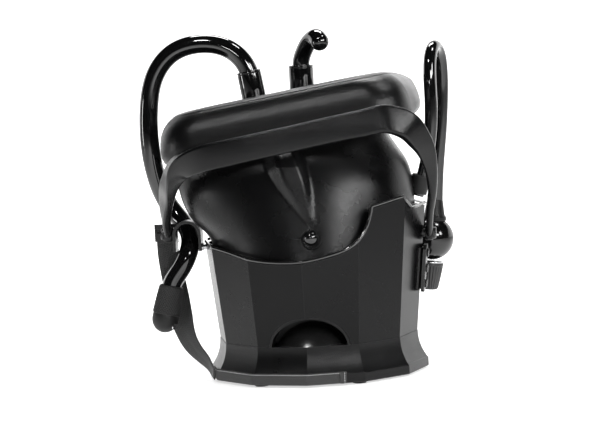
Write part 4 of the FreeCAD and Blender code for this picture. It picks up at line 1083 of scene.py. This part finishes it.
def makeStrap():
    f, g = strapFacts, bandFacts
    steps = f["steps"]
    centres = smoothRoute([pt(*c) for c, s, w in strapRun], steps)
    keys = len(strapRun) - 1
    sides, widths = [], []
    for i in range(steps):
        u = i / (steps - 1) * keys
        k = min(int(u), keys - 1)
        share = u - k
        a, b = Vector(strapRun[k][1]), Vector(strapRun[k + 1][1])
        sides.append(a.lerp(b, share).normalized())
        widths.append((strapRun[k][2] * (1 - share) + strapRun[k + 1][2] * share) * mm)
    strap = ribbonMesh("strapHanging", centres, sides, widths, f["thick"] * mm, webbing,
                       ("strap_hanging",))
    # the tape lies round the lip
    upward = Vector((0, 0, 1))
    route, normals = aroundLip(g["out"], g["from"], g["to"] - g["from"], 150)
    ribbonMesh("strapBand", route, [upward] * len(route), [g["wide"] * mm] * len(route), g["thick"] * mm,
               webbing, ("strap_band",))
    edge = [p + n * mm + Vector((0, 0, 4.1 * mm)) for p, n in zip(route, normals)]
    stitchRow("strapBandStitches", edge, normals, 1.7 * mm, 0.45 * mm, 2.2 * mm, threadPale)
    # folded and sewn end
    seam, seamN = aroundLip(g["seamOut"], g["seamFrom"], g["seamOver"], 8)
    ribbonMesh("strapSeam", seam, [upward] * len(seam), [10.6 * mm] * len(seam), 1.4 * mm, webbing,
               ("strap_stop",))
    upright = [seam[5] + seamN[5] * 0.8 * mm + Vector((0, 0, z * mm)) for z in (-4.6, -2.3, 0, 2.3, 4.6)]
    stitchRow("strapSeamStitches", upright, [seamN[5]] * 5, 1.6 * mm, 0.5 * mm, 2.1 * mm, threadPale)


makeStrap()
print("strap made")

# finishes of the carried-over pieces
finishes = {
    "vessel_wall": satinWall, "arch_liner": satinDark, "bottom_cover": satinDark,
    "bottom_screws": screwSteel, "rubber_feet": rubberBlack, "head_screws": screwSteel,
    "outlet_ferrule": brightChrome, "rim_port": rubberBlack, "valve_mount": satinWall,
    "right_bracket": bracketPaint, "bracket_spacer": rubberBlack, "bracket_screws": bracketPaint,
    "left_pivot_pin": bracketPaint, "right_pivot_pin": bracketPaint, "pipe_eye": bracketPaint,
    "eye_pin": shaftSteel, "strap_clip": bracketPaint, "stud_guide": rubberBlack,
    "switch_block": satinDark, "pump_volute": pumpGrey, "impeller": wheelGrey,
    "motor_shaft": shaftSteel, "motor": castMetal, "shaft_seal": rubberBlack, "motor_mount": castMetal,
    "heater_coil": shaftSteel, "temperature_probe": shaftSteel, "control_board": boardGreen,
    "relay_block": satinDark, "power_inlet": satinDark,
}
for nodeName, finish in finishes.items():
    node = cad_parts[nodeName]
    if not node.data.materials:
        node.data.materials.append(finish)
    for index in range(len(node.data.materials)):
        node.data.materials[index] = finish
print("finishes assigned")

# floor, light and background
lightFacts = {
    "sky": 0.006, "floorTone": 0.9, "floorNear": 0.6, "floorFar": 1.1, "backdropGlow": 1.2,
    "panels": [
        # name, centre, aimed at, size across and up, watts
        ("overhead", (-100, 800, 1500), (0, 0, 50), (800, 260), 12),
        ("topRightPanel", (600, 60, 1420), (40, -60, 60), (240, 240), 3.5),
        ("rightPanel", (1250, -750, 780), (100, -80, 210), (300, 380), 6),
        ("barPanel", (1060, -1500, 820), (90, -105, 240), (640, 300), 13),
        ("frontPanel", (-126, -1967, 575), (60, -105, 235), (220, 110), 1.7),
        ("frontTopPanel", (-340, -1150, 1520), (20, -80, 250), (260, 120), 8),
        ("leftPanel", (-1300, -300, 200), (-40, -60, 170), (140, 320), 1.6),
    ]}


def paleSheet(name):
    mat, tree, shader, coord = nodeMaterial(name)
    cloud = addNoise(tree, coord, 2.0)
    pale = lightFacts["floorTone"]
    tint = addTint(tree, cloud.outputs["Fac"], grey(pale), grey(pale + 0.01))
    tree.links.new(tint, shader.inputs["Base Color"])
    shader.inputs["Roughness"].default_value = 0.9
    shader.inputs["Emission Color"].default_value = (1, 1, 1, 1)
    return mat, tree, shader, coord


def makeFloorPale():
    # glows more toward the back, where no panel reaches, and less out at the sides
    mat, tree, shader, coord = paleSheet("floorPale")
    split = tree.nodes.new("ShaderNodeSeparateXYZ")
    tree.links.new(coord.outputs["Object"], split.inputs["Vector"])
    deep, wide = split.outputs["Y"], split.outputs["X"]
    far = addRange(tree, deep, lightFacts["floorNear"], lightFacts["floorFar"], 0.25, 1.0)
    apart = addMath(tree, "MULTIPLY_ADD", deep, -0.11, addMath(tree, "ABSOLUTE", wide))
    sides = addRange(tree, apart, 1.0, 0.1, 0.34, 0.62)
    glow = addMath(tree, "MULTIPLY", far.outputs["Result"], sides.outputs["Result"])
    tree.links.new(glow, shader.inputs["Emission Strength"])
    return mat


def makeBackdropPale():
    mat, tree, shader, coord = paleSheet("backdropPale")
    shader.inputs["Emission Strength"].default_value = lightFacts["backdropGlow"]
    return mat


def stageMesh(name, verts, faces, material, smooth=False):
    mesh = bpy.data.meshes.new(name)
    mesh.from_pydata(verts, [], faces)
    if smooth:
        mesh.shade_smooth()
    mesh.materials.append(material)
    obj = bpy.data.objects.new(name, mesh)
    bpy.context.scene.collection.objects.link(obj)
    return obj


# a wide floor that turns up into the backdrop, in metres
stageFacts = {"half": 9.0, "floorEnd": 2.2, "bend": 0.5, "top": 2.2, "bendSteps": 12}


def makeStage():
    f = stageFacts
    half, end, bend = f["half"], f["floorEnd"], f["bend"]
    floor = stageMesh("floor", [(-half, -half, 0), (half, -half, 0), (half, end, 0), (-half, end, 0)],
                      [(0, 1, 2, 3)], makeFloorPale())
    verts = []
    for k in range(f["bendSteps"] + 1):
        turn = math.radians(90 * k / f["bendSteps"])
        for x in (-half, half):
            verts.append((x, end + bend * math.sin(turn), bend - bend * math.cos(turn)))
    for x in (-half, half):
        verts.append((x, end + bend, f["top"]))
    faces = [(2 * k, 2 * k + 1, 2 * k + 3, 2 * k + 2) for k in range(f["bendSteps"] + 1)]
    backdrop = stageMesh("backdrop", verts, faces, makeBackdropPale(), True)


def makeLights():
    for name, centre, aim, span, watts in lightFacts["panels"]:
        data = bpy.data.lights.new(name, "AREA")
        data.shape = "RECTANGLE"
        data.size = span[0] * mm
        data.size_y = span[1] * mm
        data.energy = watts
        lamp = bpy.data.objects.new(name, data)
        bpy.context.scene.collection.objects.link(lamp)
        eye = pt(*centre)
        look = (pt(*aim) - eye).normalized()
        lamp.matrix_world = Matrix.Translation(eye) @ look.to_track_quat("-Z", "Y").to_matrix().to_4x4()


def makeWorld():
    world = bpy.data.worlds.new("paleRoom")
    world.use_nodes = True
    bpy.context.scene.world = world
    tree = world.node_tree
    tree.nodes["Background"].inputs["Color"].default_value = (1, 1, 1, 1)
    tree.nodes["Background"].inputs["Strength"].default_value = lightFacts["sky"]
    view = bpy.context.scene.view_settings
    view.view_transform = "Standard"
    view.look = "None"


makeStage()
makeLights()
makeWorld()
print("stage lit")
